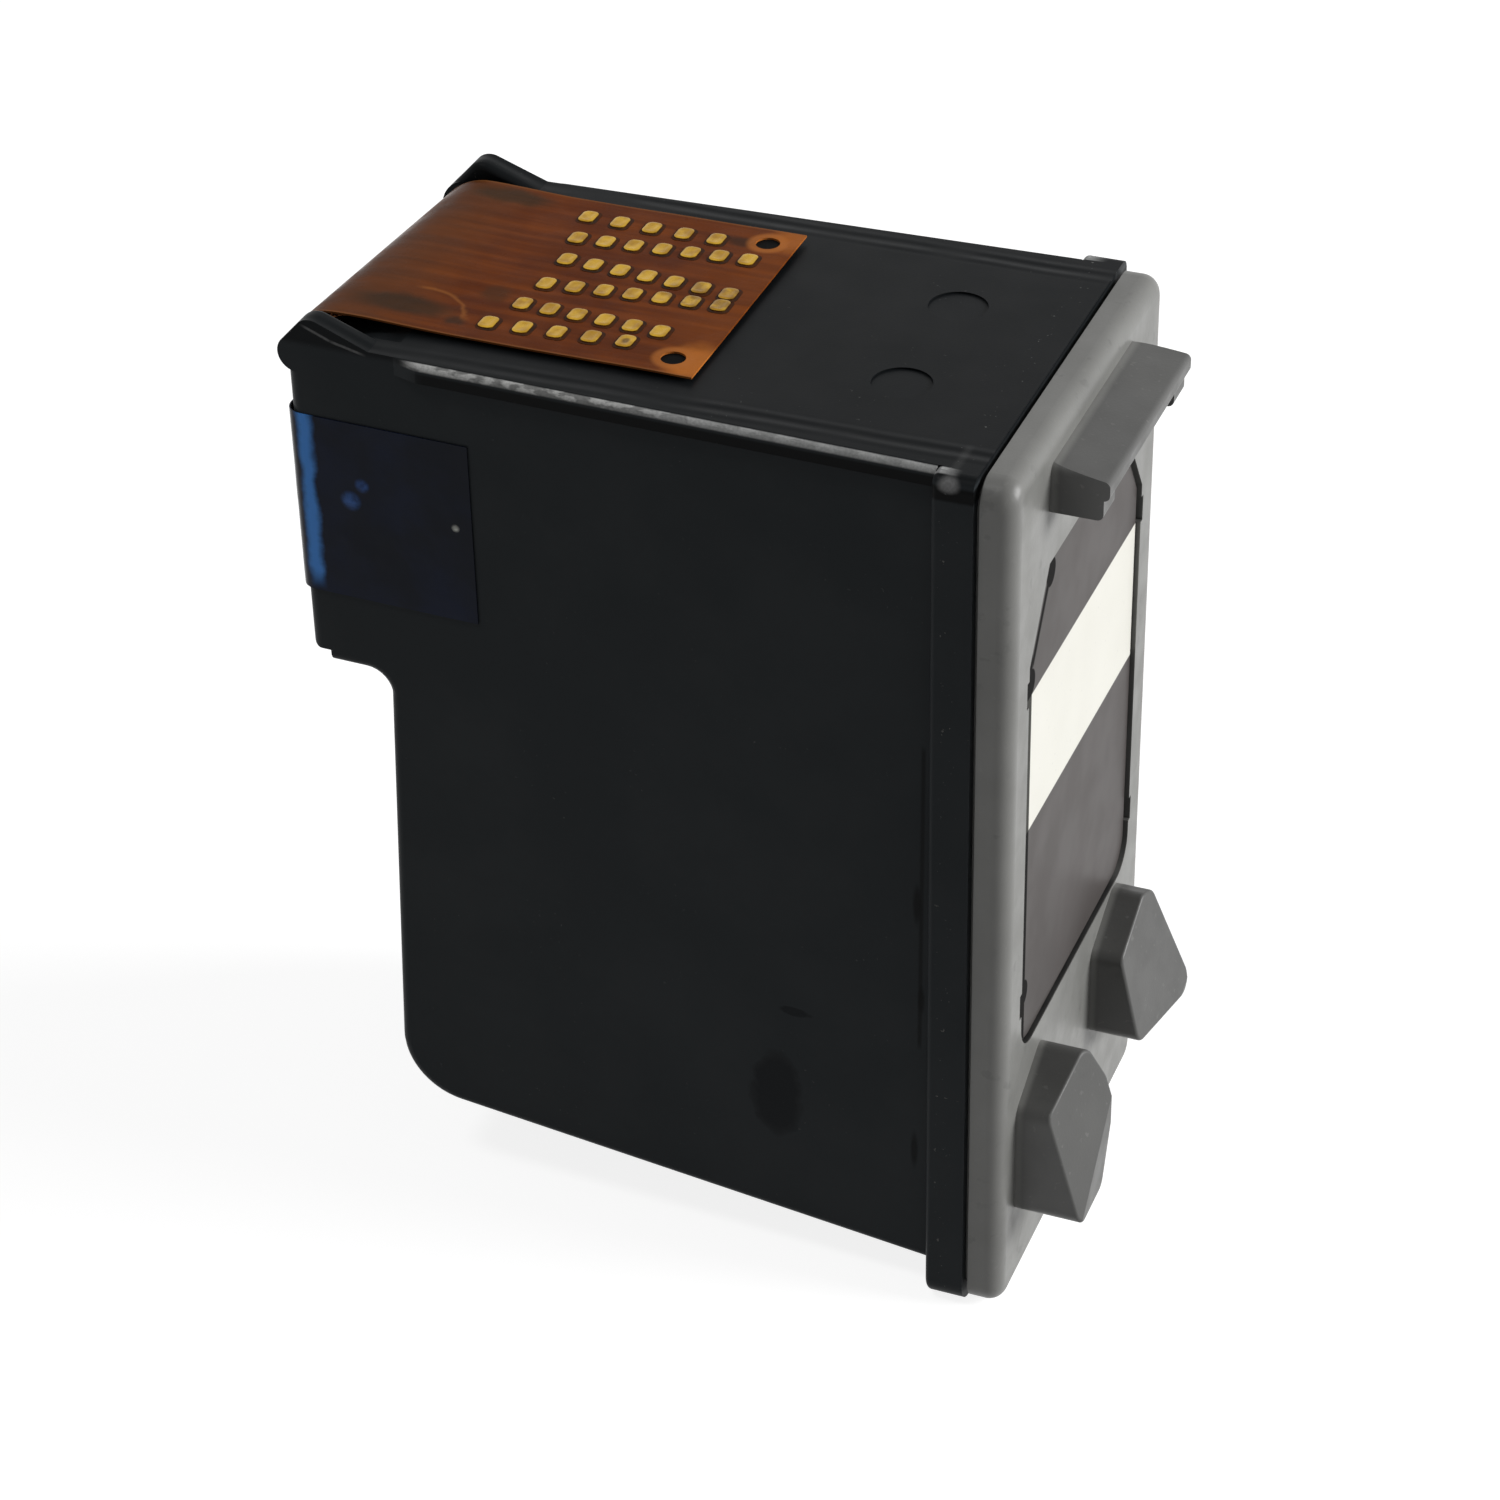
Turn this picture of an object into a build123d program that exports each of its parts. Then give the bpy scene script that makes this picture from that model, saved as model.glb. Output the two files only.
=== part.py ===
from build123d import *
import os

# Inkjet cartridge with its own printhead. Millimetres.
# X runs from the nozzle face (-) to the lid (+), Y across, Z up to the contact face.
# The part stands on the flange's long edge, and the origin is under its middle.

# Body shell
snout_reach = 43.6        # nozzle face to the seam with the lid
belly_setback = 5.3       # nozzle face to the end wall, under the snout
belly_lean = 0.045        # the end wall comes forward by this much per mm downwards
top_z = 60.15             # contact face above the floor
snout_height = 22.5       # contact face to the underside of the snout
body_half_width = 12.95   # at the flange
body_clearance = 1.95     # the lower wall stays this far above the floor at the flange
side_draft = 0.03         # moulding draft of the side walls, per mm of depth
floor_draft = 0.089       # the same of the lower wall
wall = 1.3
roof = 1.6
belly_radius = 4.4        # lower corner of the end wall
step_radius = 1.5         # hollow corner under the snout
snout_corner = 0.9        # upright corners beside the nozzle face
edge_radius = 0.7
rim_radius = 0.35         # flange's edge towards the body
overcut = 1.0             # how far cutting shapes pass the surface that they open
bend_radius = 1.9         # upper edge of the nozzle face, beside the circuit

# Hollow under the circuit's bend, between the ears: a slope and then a steeper fall
relief_run = 7.0          # from the nozzle face
relief_knee = 1.6
relief_depth = 1.3        # at the knee, under the contact face
relief_drop = 4.0         # at the nozzle face
relief_round = 1.5

# Nose pad that carries the printhead, a little shorter than the snout
nose_depth = 1.4
nose_lift = 0.9

# Flange round the opening
flange_thickness = 2.5
flange_rim = 1.3          # flange past the side walls
flange_corner = 1.6       # lower corners, and the lid's
flange_top_corner = 0.8

# Guide rails along the two upper edges
rail_overhang = 0.42
rail_height = 1.2
rail_setback = 7.3        # from the nozzle face to the rail's end
rail_round = 0.5
rail_bite = 0.5           # how deep the rail's root runs into the wall
rail_ramp = 1.6

# Ears beside the circuit's bend: a front lobe, a crest and a low tail
ear_reach = 0.4           # past the nozzle face
ear_thickness = 1.5
lobe_radius = 1.2
lobe_drop = 1.1           # centre below the contact face
crest_radius = 1.2
crest_setback = 1.95      # centre behind the nozzle face
crest_rise = 1.35         # over the contact face
tail_radius = 0.4
tail_setback = 5.6
ear_round = 0.4
far_ear_setback = 0.9     # the ear on the far side stands back by this much

# Marks of the ejector pins on the contact face
ejector_radius = 1.8
ejector_depth = 0.12
ejector_setback = 7.5     # from the seam
ejector_offset = 4.9

# Lid
lid_thickness = 2.45
lid_inset = 0.2           # the lid stands this far inside the flange's outline
lid_edge = 1.1
seam_gap = 0.3
seam_depth = 0.55
plug_depth = 2.4
plug_wall = 1.1
plug_clearance = 0.15
rib_count = 3
rib_thickness = 1.0

# Latch ledge on the lid
ledge_half_length = 7.95
ledge_drop = 1.85         # top of the ledge below the contact face
ledge_thickness = 1.7
ledge_reach = 3.5
ledge_slope = 0.5
ledge_foot_length = 2.1
ledge_foot_height = 3.0
ledge_foot_reach = 3.15
ledge_round = 0.4
ledge_end_round = 0.6

# Grip tabs on the lid: the outline inwards from the flange's side and up, and three
# points of the sloping face with their rise over the lid
tab_rise = 4.4            # highest point over the lid's face
near_tab = [(2.65, 6.4), (2.65, 14.5), (7.65, 17.0), (8.65, 14.0), (8.65, 10.4), (7.05, 6.4)]
near_tab_slope = [(2.65, 14.5, 2.1), (2.65, 6.4, 4.4), (7.65, 17.0, 2.9)]
far_tab = [(10.85, 9.5), (10.85, 15.9), (6.45, 18.2), (5.05, 17.8), (2.75, 10.2), (2.95, 8.7)]
far_tab_slope = [(10.85, 15.9, 2.1), (10.85, 9.5, 3.5), (2.85, 9.3, 4.5)]
tab_corner = 0.9
tab_round = 0.2
root = 0.5                # how far ledge and tabs run into the lid

# Label and its recess
recess_margin = 3.3       # recess to the flange's side
recess_low = 18.3
recess_drop = 8.45        # top of the recess below the contact face
recess_depth = 0.4
recess_chamfer_y = 3.3
recess_chamfer_z = 5.1
recess_corner = 2.2
notch_length = 1.8
notch_width = 0.7
label_clearance = 0.2
label_thickness = 0.12

# Breather path under the label
vent_radius = 0.45
vent_drop = 3.0           # below the middle of the nozzle rows
groove_width = 0.5
groove_depth = 0.35
groove_pitch = 1.4
groove_run = 8.0
groove_turns = 4

# Printhead
head_drop = 11.15         # middle of the nozzle rows below the contact face
die_length = 10.4
die_width = 3.8
die_thickness = 0.65
die_margin = 0.35
glue_thickness = 0.15
glue_width = 0.6
plate_thickness = 0.08
plate_margin = 0.25
nozzle_radius = 0.09
nozzle_pitch = 0.5
nozzle_margin = 0.5       # end of the plate to its nozzles
nozzle_rows = 2
row_spacing = 1.9
bead_gap = 0.03
bead_width = 0.9
bead_rise = 0.11

# Ink feed from the filter to the chip
pipe_radius = 5.4
pipe_wall = 1.0
pipe_height = 3.2
slot_length = 8.0
slot_width = 1.6
slot_round = 0.7
chip_slot_width = 0.8
filter_thickness = 0.3
filter_seat = 0.5
filter_clearance = 0.05
foam_clearance = 0.3

# Flexible circuit
film_margin = 3.68        # film's edge to the side of the body
film_offset = 0.3         # the circuit sits this far off the middle
film_thickness = 0.12
trace_thickness = 0.05
film_bend = 2.9           # inner radius of the bend
film_reach = 24.8         # from the nozzle face to the film's end
film_drop = 19.4          # from the contact face to the film's lower end
tooling_radius = 0.75
tooling_setback = 1.85
tooling_margin = 1.77     # from the film's edge
window_gap = 0.03
pad_length = 1.0
pad_share = 0.151         # pad's width as a share of half the film's
pad_round = 0.35
pad_rise = 0.08
trace_width = 0.08
lane_pitch = 0.13
lane_margin = 0.09        # from a row of pads to its first lane

# Rows of contact pads: first and last pad from the film's end, pitch, place across as a
# share of half the film's width, slant
contact_rows = {
    "contact_row_1": (13.50, 4.98, 2.13, 0.771, -0.02),
    "contact_row_2": (13.00, 2.20, 1.80, 0.469, 0.07),
    "contact_row_3": (12.50, 1.70, 1.80, 0.173, -0.08),
    "contact_row_4": (12.45, 1.65, 1.80, -0.173, 0.08),
    "contact_row_5": (12.75, 3.75, 1.80, -0.469, -0.06),
    "contact_row_6": (13.70, 5.18, 2.13, -0.771, 0.06),
}

# Film over the nozzles
tape_height = 12.2
tape_leg = 11.8
tape_thickness = 0.08
tape_gap = 0.02

# Places that follow from the sizes
overall_depth = ear_reach + snout_reach + lid_thickness + tab_rise
nozzle_x = -overall_depth / 2 + ear_reach
seam_x = nozzle_x + snout_reach
flange_x = seam_x - flange_thickness
lid_x = seam_x + lid_thickness
belly_x = nozzle_x + belly_setback
cavity_x = belly_x + wall
opening_half_width = body_half_width - wall
film_face = nozzle_x - trace_thickness - film_thickness
snout_floor = top_z - snout_height
flange_half_width = body_half_width + flange_rim
ledge_top = top_z - ledge_drop
recess_half_width = flange_half_width - recess_margin
recess_high = top_z - recess_drop
head_z = top_z - head_drop
vent_z = head_z - vent_drop
film_half_width = body_half_width - film_margin
tooling_offset = film_half_width - tooling_margin
pad_width = pad_share * film_half_width


def half_width(x):
    # half the body's width at a place along its depth
    return body_half_width - side_draft * (flange_x - x)


def floor_z(x):
    # height of the lower wall at a place along the depth
    return body_clearance + floor_draft * (flange_x - x)


def leaning_end(x, lift):
    # foot of the leaning end wall whose head is at x: where it meets the floor raised by lift
    foot_z = floor_z(x) + lift
    return x - belly_lean * (snout_floor - foot_z), foot_z


def side_profile(points):
    # closed outline in the XZ plane, drawn in X and Z
    return Plane.XZ * make_face(Polyline(*points, close=True))


def across(face, low, high):
    # a face of the XZ plane drawn out from y = low to y = high
    return extrude(Pos(0, low, 0) * face, amount=high - low, dir=(0, 1, 0))


def corner_round(face, x, z, radius):
    # rounds the corner of an XZ face that lies at x, z
    corner = face.vertices().sort_by_distance((x, face.center().Y, z))[0]
    return fillet(corner, radius)


def plan_prism(front_x, back_x, inset, low, high, radius):
    # prism whose sides follow the drafted side walls
    front, back = half_width(front_x) - inset, half_width(back_x) - inset
    outline = Polyline((front_x, -front), (back_x, -back), (back_x, back), (front_x, front), close=True)
    face = make_face(outline)
    if radius > 0:
        face = fillet(face.vertices().group_by(Axis.X)[0], radius)
    return extrude(Pos(0, 0, low) * face, amount=high - low)


def end_sheet(x, half_across, low, high, low_radius, high_radius):
    # rectangle that faces along X, centred across, with rounded corners
    face = Pos(0, (low + high) / 2) * Rectangle(2 * half_across, high - low)
    face = fillet(face.vertices().group_by(Axis.Y)[0], low_radius)
    face = fillet(face.vertices().group_by(Axis.Y)[-1], high_radius)
    return Plane.YZ.offset(x) * face


def x_block(x0, x1, y0, y1, z0, z1):
    return Pos((x0 + x1) / 2, (y0 + y1) / 2, (z0 + z1) / 2) * Box(x1 - x0, y1 - y0, z1 - z0)


def outer_shell():
    # side outline with the step under the snout, trimmed by the drafted sides
    foot_x, foot_z = leaning_end(belly_x, 0)
    nose_x, nose_z = nozzle_x + nose_depth, snout_floor + nose_lift
    points = [(foot_x, foot_z), (seam_x, floor_z(seam_x)), (seam_x, top_z), (nozzle_x, top_z),
              (nozzle_x, nose_z), (nose_x, nose_z), (nose_x, snout_floor), (belly_x, snout_floor)]
    face = side_profile(points)
    face = corner_round(face, foot_x, foot_z, belly_radius)
    face = corner_round(face, belly_x, snout_floor, step_radius)
    face = corner_round(face, nozzle_x, top_z, bend_radius)
    face = corner_round(face, nozzle_x, nose_z, edge_radius)
    side = across(face, -body_half_width, body_half_width)
    shell = side & plan_prism(nozzle_x, seam_x, 0, 0, top_z, snout_corner)
    low_edges = [e for e in shell.edges() if e.center().Z < snout_floor and abs(e.center().Y) > edge_radius]
    upright = [e for e in low_edges if foot_x - edge_radius < e.center().X < belly_x]
    upright = [e for e in upright if e.length > snout_floor / 2]
    return fillet(upright, edge_radius)


def inner_space():
    # room for the foam, with the same draft as the walls
    foot_x, foot_z = leaning_end(cavity_x, wall)
    end_x = seam_x + overcut
    points = [(foot_x, foot_z), (end_x, floor_z(end_x) + wall), (end_x, top_z - roof),
              (cavity_x, top_z - roof), (cavity_x, snout_floor)]
    face = side_profile(points)
    face = corner_round(face, foot_x, foot_z, belly_radius - wall)
    side = across(face, -body_half_width, body_half_width)
    return side & plan_prism(foot_x, end_x, wall, 0, top_z, 0)


def flange():
    # outer collar that the lid is welded to
    sheet = end_sheet(flange_x, flange_half_width, 0, top_z, flange_corner, flange_top_corner)
    collar = extrude(sheet, amount=flange_thickness, dir=(1, 0, 0))
    rim = collar.faces().sort_by(Axis.X)[0].edges()
    return fillet(rim, rim_radius)


def rail(side):
    # ledge along one upper edge, ramped at its nozzle end
    start = nozzle_x + rail_setback
    ramp = start + rail_ramp
    outer_start, outer_end = half_width(ramp) + rail_overhang, half_width(flange_x) + rail_overhang
    points = [(start, half_width(start) - rail_bite), (start, half_width(start)), (ramp, outer_start),
              (flange_x, outer_end), (flange_x, half_width(flange_x) - rail_bite)]
    face = make_face(Polyline(*[(x, side * y) for x, y in points], close=True))
    bar = extrude(Pos(0, 0, top_z - rail_height) * face, amount=rail_height, dir=(0, 0, 1))
    outer = [e for e in bar.edges() if abs(e.center().Z - top_z) < 0.01 and e.length > snout_reach / 2]
    edge = max(outer, key=lambda e: abs(e.center().Y))
    return fillet(edge, rail_round)


def ear(side):
    # horn at one end of the bend, flush with the side wall
    start = nozzle_x + (far_ear_setback if side > 0 else 0)
    lobe = Pos(start - ear_reach + lobe_radius, top_z - lobe_drop) * Circle(lobe_radius)
    crest = Pos(start + crest_setback, top_z + crest_rise - crest_radius) * Circle(crest_radius)
    tail = Pos(start + tail_setback, top_z - tail_radius) * Circle(tail_radius)
    face = Plane.XZ * make_hull(lobe.edges() + crest.edges() + tail.edges())
    outer = half_width(start + tail_setback)
    inner = half_width(start) - ear_thickness
    horn = across(face, min(side * inner, side * outer), max(side * inner, side * outer))
    horn = horn & plan_prism(start - overcut, start + 2 * tail_setback, 0, 0, top_z + 2 * crest_rise, 0)
    rims = [e for e in horn.edges() if e.length > 2 * ear_round and abs(e.center().Y) < abs(inner) + 0.01
            and e.center().Z > top_z]
    return fillet(rims, ear_round)


def bend_relief():
    # room under the circuit's bend, as wide as the ears leave it
    knee = (nozzle_x + relief_knee, top_z - relief_depth)
    points = [(nozzle_x - overcut, top_z - relief_drop), (nozzle_x, top_z - relief_drop), knee,
              (nozzle_x + relief_run, top_z), (nozzle_x + relief_run, top_z + overcut),
              (nozzle_x - overcut, top_z + overcut)]
    face = corner_round(side_profile(points), *knee, relief_round)
    inner = half_width(nozzle_x) - ear_thickness
    return across(face, -inner, inner)


def feed_channel():
    # ink way that narrows from the filter's circle to the slot behind the chip
    pocket_floor = nozzle_x + die_thickness + glue_thickness
    mouth_x = cavity_x + pipe_height - filter_seat
    sheet = Pos(0, head_z) * RectangleRounded(slot_width, slot_length, slot_round)
    slot = Plane.YZ.offset(pocket_floor) * sheet
    mouth = Plane.YZ.offset(mouth_x) * (Pos(0, head_z) * Circle(pipe_radius - pipe_wall - filter_seat))
    return loft([slot, mouth])


def standpipe():
    # raised ring on the end wall that carries the filter
    start = belly_x + wall / 2
    return Pos((start + cavity_x + pipe_height) / 2, 0, head_z) * Rot(Y=90) * Cylinder(
        pipe_radius, cavity_x + pipe_height - start)


def die_pocket():
    depth = die_thickness + glue_thickness
    half_y, half_z = die_width / 2 + die_margin, die_length / 2 + die_margin
    return x_block(nozzle_x - overcut, nozzle_x + depth, -half_y, half_y, head_z - half_z, head_z + half_z)


def body_housing():
    body = outer_shell() - bend_relief() + flange()
    for side in (-1, 1):
        body += rail(side)
        body += ear(side)
    body -= inner_space()
    body += standpipe()
    body -= feed_channel()
    seat_x = cavity_x + pipe_height - filter_seat
    seat = Cylinder(pipe_radius - pipe_wall, 2 * filter_seat)
    body -= Pos(seat_x + filter_seat, 0, head_z) * Rot(Y=90) * seat
    body -= die_pocket()
    for side in (-1, 1):
        mark = Cylinder(ejector_radius, 2 * ejector_depth)
        body -= Pos(seam_x - ejector_setback, side * ejector_offset, top_z) * mark
    return body


def filter_screen():
    x = cavity_x + pipe_height - filter_seat
    radius = pipe_radius - pipe_wall - filter_clearance
    return Pos(x + filter_thickness / 2, 0, head_z) * Rot(Y=90) * Cylinder(radius, filter_thickness)


def foam_block():
    # sponge that fills the body, with a socket over the standpipe
    front, back = cavity_x + foam_clearance, seam_x - plug_depth - foam_clearance
    inset = wall + foam_clearance
    foot_x, foot_z = leaning_end(front, inset)
    head = top_z - roof - foam_clearance
    points = [(foot_x, foot_z), (back, floor_z(back) + inset), (back, head), (front, head),
              (front, snout_floor)]
    face = side_profile(points)
    face = corner_round(face, foot_x, foot_z, belly_radius - wall)
    block = across(face, -body_half_width, body_half_width) & plan_prism(foot_x, back, inset, 0, top_z, 0)
    socket_x = cavity_x + pipe_height + foam_clearance
    depth = 2 * (socket_x - front)
    socket = Pos(socket_x - depth / 2, 0, head_z) * Rot(Y=90) * Cylinder(pipe_radius + foam_clearance, depth)
    return block - socket


def ledge_profile(reach, height):
    top_outer = ledge_top - ledge_slope
    points = [(lid_x - root, ledge_top), (lid_x, ledge_top), (lid_x + reach, top_outer),
              (lid_x + reach, ledge_top - height), (lid_x - root, ledge_top - height)]
    face = side_profile(points)
    face = corner_round(face, lid_x + reach, top_outer, ledge_round)
    return corner_round(face, lid_x + reach, ledge_top - height, ledge_round)


def latch_ledge():
    # shelf that the printer's latch presses on, with a deeper foot at each end
    ledge = across(ledge_profile(ledge_reach, ledge_thickness), -ledge_half_length, ledge_half_length)
    foot = ledge_profile(ledge_foot_reach, ledge_foot_height)
    ledge += across(foot, -ledge_half_length, -ledge_half_length + ledge_foot_length)
    ledge += across(foot, ledge_half_length - ledge_foot_length, ledge_half_length)
    ends = [e for e in ledge.edges().filter_by(Axis.X) if abs(e.center().Z - ledge_top) < ledge_slope]
    ends = [e for e in ends if abs(abs(e.center().Y) - ledge_half_length) < 0.01]
    return fillet(ends, ledge_end_round) if ends else ledge


def grip_tab(side, outline, slope):
    # wedge whose outer face falls away towards its upper corner
    edge = flange_half_width
    points = [(side * (edge - inwards), up) for inwards, up in outline]
    face = make_face(Polyline(*points, close=True))
    face = fillet(face.vertices(), tab_corner)
    prism = extrude(Plane.YZ.offset(lid_x - root) * face, amount=tab_rise + root, dir=(1, 0, 0))
    first, second, third = [Vector(lid_x + rise, side * (edge - inwards), up) for inwards, up, rise in slope]
    normal = (second - first).cross(third - first)
    if normal.X < 0:
        normal = -normal
    tab = split(prism, bisect_by=Plane(origin=first, z_dir=normal), keep=Keep.BOTTOM)
    crest = [e for e in tab.edges() if min(v.X for v in e.vertices()) > lid_x]
    return fillet(crest, tab_round)


def recess_outline(inset):
    # label shape: cut corners above, round corners below
    half, low, high = recess_half_width - inset, recess_low + inset, recess_high - inset
    cut_y, cut_z = recess_chamfer_y, recess_chamfer_z
    face = make_face(Polyline((-half, low), (half, low), (half, high - cut_z), (half - cut_y, high),
                              (-half + cut_y, high), (-half, high - cut_z), close=True))
    return fillet(face.vertices().group_by(Axis.Y)[0], recess_corner)


def breather_groove():
    # winding groove from the vent hole to the recess's edge
    x0, x1 = lid_x - recess_depth - groove_depth, lid_x
    z = vent_z
    groove = None
    for turn in range(groove_turns):
        run = x_block(x0, x1, -groove_run / 2, groove_run / 2, z - groove_width / 2, z + groove_width / 2)
        end = groove_run / 2 * (1 if turn % 2 else -1)
        link = x_block(x0, x1, end - groove_width / 2, end + groove_width / 2,
                       z - groove_width / 2 - groove_pitch, z + groove_width / 2)
        groove = run if groove is None else groove + run
        groove += link
        z -= groove_pitch
    return groove


def lid():
    half = flange_half_width - lid_inset
    sheet = end_sheet(seam_x, half, lid_inset, top_z - lid_inset, flange_corner, flange_corner)
    plate = extrude(sheet, amount=lid_thickness, dir=(1, 0, 0))
    plate = fillet(plate.faces().sort_by(Axis.X)[-1].edges(), lid_edge)
    inset = lid_inset + seam_depth
    inner = end_sheet(seam_x, half - seam_depth, inset, top_z - inset, flange_corner, flange_corner)
    plate -= extrude(sheet - inner, amount=seam_gap, dir=(1, 0, 0))
    low, high = floor_z(seam_x - plug_depth) + wall + plug_clearance, top_z - roof - plug_clearance
    out = opening_half_width - side_draft * plug_depth - plug_clearance
    ring = x_block(seam_x - plug_depth, seam_x + seam_gap, -out, out, low, high)
    ring -= x_block(seam_x - plug_depth - overcut, seam_x, -out + plug_wall, out - plug_wall,
                    low + plug_wall, high - plug_wall)
    body = plate + ring
    for index in range(rib_count):
        z = low + (high - low) * (index + 1) / (rib_count + 1)
        body += x_block(seam_x - plug_depth, seam_x + seam_gap, -out + plug_wall / 2, out - plug_wall / 2,
                        z - rib_thickness / 2, z + rib_thickness / 2)
    body += latch_ledge()
    body += grip_tab(-1, near_tab, near_tab_slope)
    body += grip_tab(1, far_tab, far_tab_slope)
    floor_x = lid_x - recess_depth
    body -= extrude(Plane.YZ.offset(floor_x) * recess_outline(0), amount=overcut, dir=(1, 0, 0))
    body -= breather_groove()
    body -= Pos(seam_x, 0, vent_z) * Rot(Y=90) * Cylinder(vent_radius, 4 * lid_thickness)
    for y, z in notch_places():
        body -= x_block(floor_x - recess_depth / 2, lid_x + overcut, y - notch_width / 2, y + notch_width / 2,
                        z - notch_length / 2, z + notch_length / 2)
    return body


def notch_places():
    # small reliefs along the recess's edge, where a label is lifted
    half = recess_half_width
    upper = recess_high - recess_chamfer_z - notch_length
    lower = recess_low + recess_corner + notch_length
    return [(side * half, z) for side in (-1, 1) for z in (upper, lower)]


def lid_label():
    sheet = Plane.YZ.offset(lid_x - recess_depth) * recess_outline(label_clearance)
    return extrude(sheet, amount=label_thickness, dir=(1, 0, 0))


def printhead_die():
    # chip with its ink slot
    x0 = nozzle_x
    half_y, half_z = die_width / 2, die_length / 2
    chip = x_block(x0, x0 + die_thickness, -half_y, half_y, head_z - half_z, head_z + half_z)
    half_slot = chip_slot_width / 2
    slot = x_block(x0 - overcut, x0 + die_thickness + overcut, -half_slot, half_slot,
                   head_z - slot_length / 2, head_z + slot_length / 2)
    return chip - slot


def die_adhesive():
    x0 = nozzle_x + die_thickness
    half_y, half_z = die_width / 2, die_length / 2
    ring = x_block(x0, x0 + glue_thickness, -half_y, half_y, head_z - half_z, head_z + half_z)
    return ring - x_block(x0 - overcut, x0 + overcut, -half_y + glue_width, half_y - glue_width,
                          head_z - half_z + glue_width, head_z + half_z - glue_width)


def nozzle_plate():
    # plate with its rows of nozzles
    half_y, half_z = die_width / 2 - plate_margin, die_length / 2 - plate_margin
    plate = x_block(nozzle_x - plate_thickness, nozzle_x, -half_y, half_y, head_z - half_z, head_z + half_z)
    count = int(2 * (half_z - nozzle_margin) / nozzle_pitch)
    for row in range(nozzle_rows):
        y = (row - (nozzle_rows - 1) / 2) * row_spacing
        shift = nozzle_pitch / 2 * row
        places = [(y, head_z + (index - count / 2) * nozzle_pitch + shift) for index in range(count)]
        holes = [Pos(nozzle_x, y, z) * Rot(Y=90) * Cylinder(nozzle_radius, overcut) for y, z in places]
        plate -= holes
    return plate


def bond_bead(side):
    # sealant over the bonds at one end of the chip, filling the gap to the film
    inner = head_z + side * (die_length / 2 - plate_margin + bead_gap)
    outer = inner + side * bead_width
    middle, crest = (inner + outer) / 2, film_face - bead_rise
    line = Line((nozzle_x, inner), (film_face, inner)) + ThreePointArc(
        (film_face, inner), (crest, middle), (film_face, outer))
    line += Line((film_face, outer), (nozzle_x, outer))
    line += Line((nozzle_x, outer), (nozzle_x, inner))
    half = die_width / 2
    return across(Plane.XZ * make_face(line), -half, half)


def bent_strip(gap, thickness, y_low, y_high, reach, drop):
    # strip that lies on the contact face and the nozzle face, with a free bend between them
    end_x, end_z = nozzle_x + reach, top_z - drop

    def covered(lift):
        face = side_profile([(nozzle_x - lift, end_z), (end_x, end_z), (end_x, top_z + lift),
                             (nozzle_x - lift, top_z + lift)])
        return corner_round(face, nozzle_x - lift, top_z + lift, film_bend + lift)

    return across(covered(gap + thickness) - covered(gap), y_low, y_high)


def pad_places(row):
    first, last, pitch, share, slant = contact_rows[row]
    count = round((first - last) / pitch) + 1
    start, place = nozzle_x + film_reach - first, film_offset + share * film_half_width
    return [(start + pitch * i, place + slant * pitch * i) for i in range(count)]


def pad_sheet(x, y, grow):
    sheet = RectangleRounded(pad_length + 2 * grow, pad_width + 2 * grow, pad_round)
    return Pos(x, y, top_z + trace_thickness) * sheet


def flex_film():
    low, high = film_offset - film_half_width, film_offset + film_half_width
    film = bent_strip(trace_thickness, film_thickness, low, high, film_reach, film_drop)
    hole_x = nozzle_x + film_reach - tooling_setback
    holes = [Pos(hole_x, film_offset + side * tooling_offset, top_z) * Cylinder(tooling_radius, 2 * overcut)
             for side in (-1, 1)]
    windows = [extrude(pad_sheet(x, y, window_gap), amount=overcut, dir=(0, 0, 1))
               for row in contact_rows for x, y in pad_places(row)]
    film -= holes + windows
    gap = 2 * bead_gap + bead_width
    half_y, half_z = die_width / 2 + bead_gap, die_length / 2 - plate_margin + gap
    return film - x_block(nozzle_x - overcut, nozzle_x + overcut, -half_y, half_y,
                          head_z - half_z, head_z + half_z)


def contact_row(row):
    pads = [extrude(pad_sheet(x, y, 0), amount=film_thickness + pad_rise, dir=(0, 0, 1))
            for x, y in pad_places(row)]
    return Compound(children=pads)


def copper_traces():
    # one conductor under each pad, led past its row and over the bend
    low_end = top_z - head_z - die_length / 2 - 2 * bead_width
    half = trace_width / 2
    traces = []
    for row in contact_rows:
        places = pad_places(row)
        side = 1 if contact_rows[row][3] > 0 else -1
        for index, (x, y) in enumerate(places):
            clear = pad_width / 2 + lane_margin + lane_pitch * index
            lane = places[0][1] + side * clear if index else y
            run = bent_strip(0, trace_thickness, lane - half, lane + half, x - nozzle_x + half, low_end)
            if index:
                run += x_block(x - half, x + half, min(lane, y), max(lane, y), top_z, top_z + trace_thickness)
            traces.append(run)
    return Compound(children=traces)


def nozzle_tape():
    # film that seals the nozzles, wrapped on to both sides of the snout
    lift = nozzle_x - film_face + bead_rise + tape_gap
    front, back = nozzle_x - lift, nozzle_x + tape_leg
    spread = tape_gap

    def wrap(extra):
        f, b = half_width(front) + spread + extra, half_width(back) + spread + extra
        x = front - extra
        face = make_face(Polyline((x, -f), (back, -b), (back, b), (x, f), close=True))
        return fillet(face.vertices().group_by(Axis.X)[0], snout_corner + lift + extra)

    sheet = wrap(tape_thickness) - wrap(0)
    return extrude(Pos(0, 0, head_z - tape_height / 2) * sheet, amount=tape_height, dir=(0, 0, 1))


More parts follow.
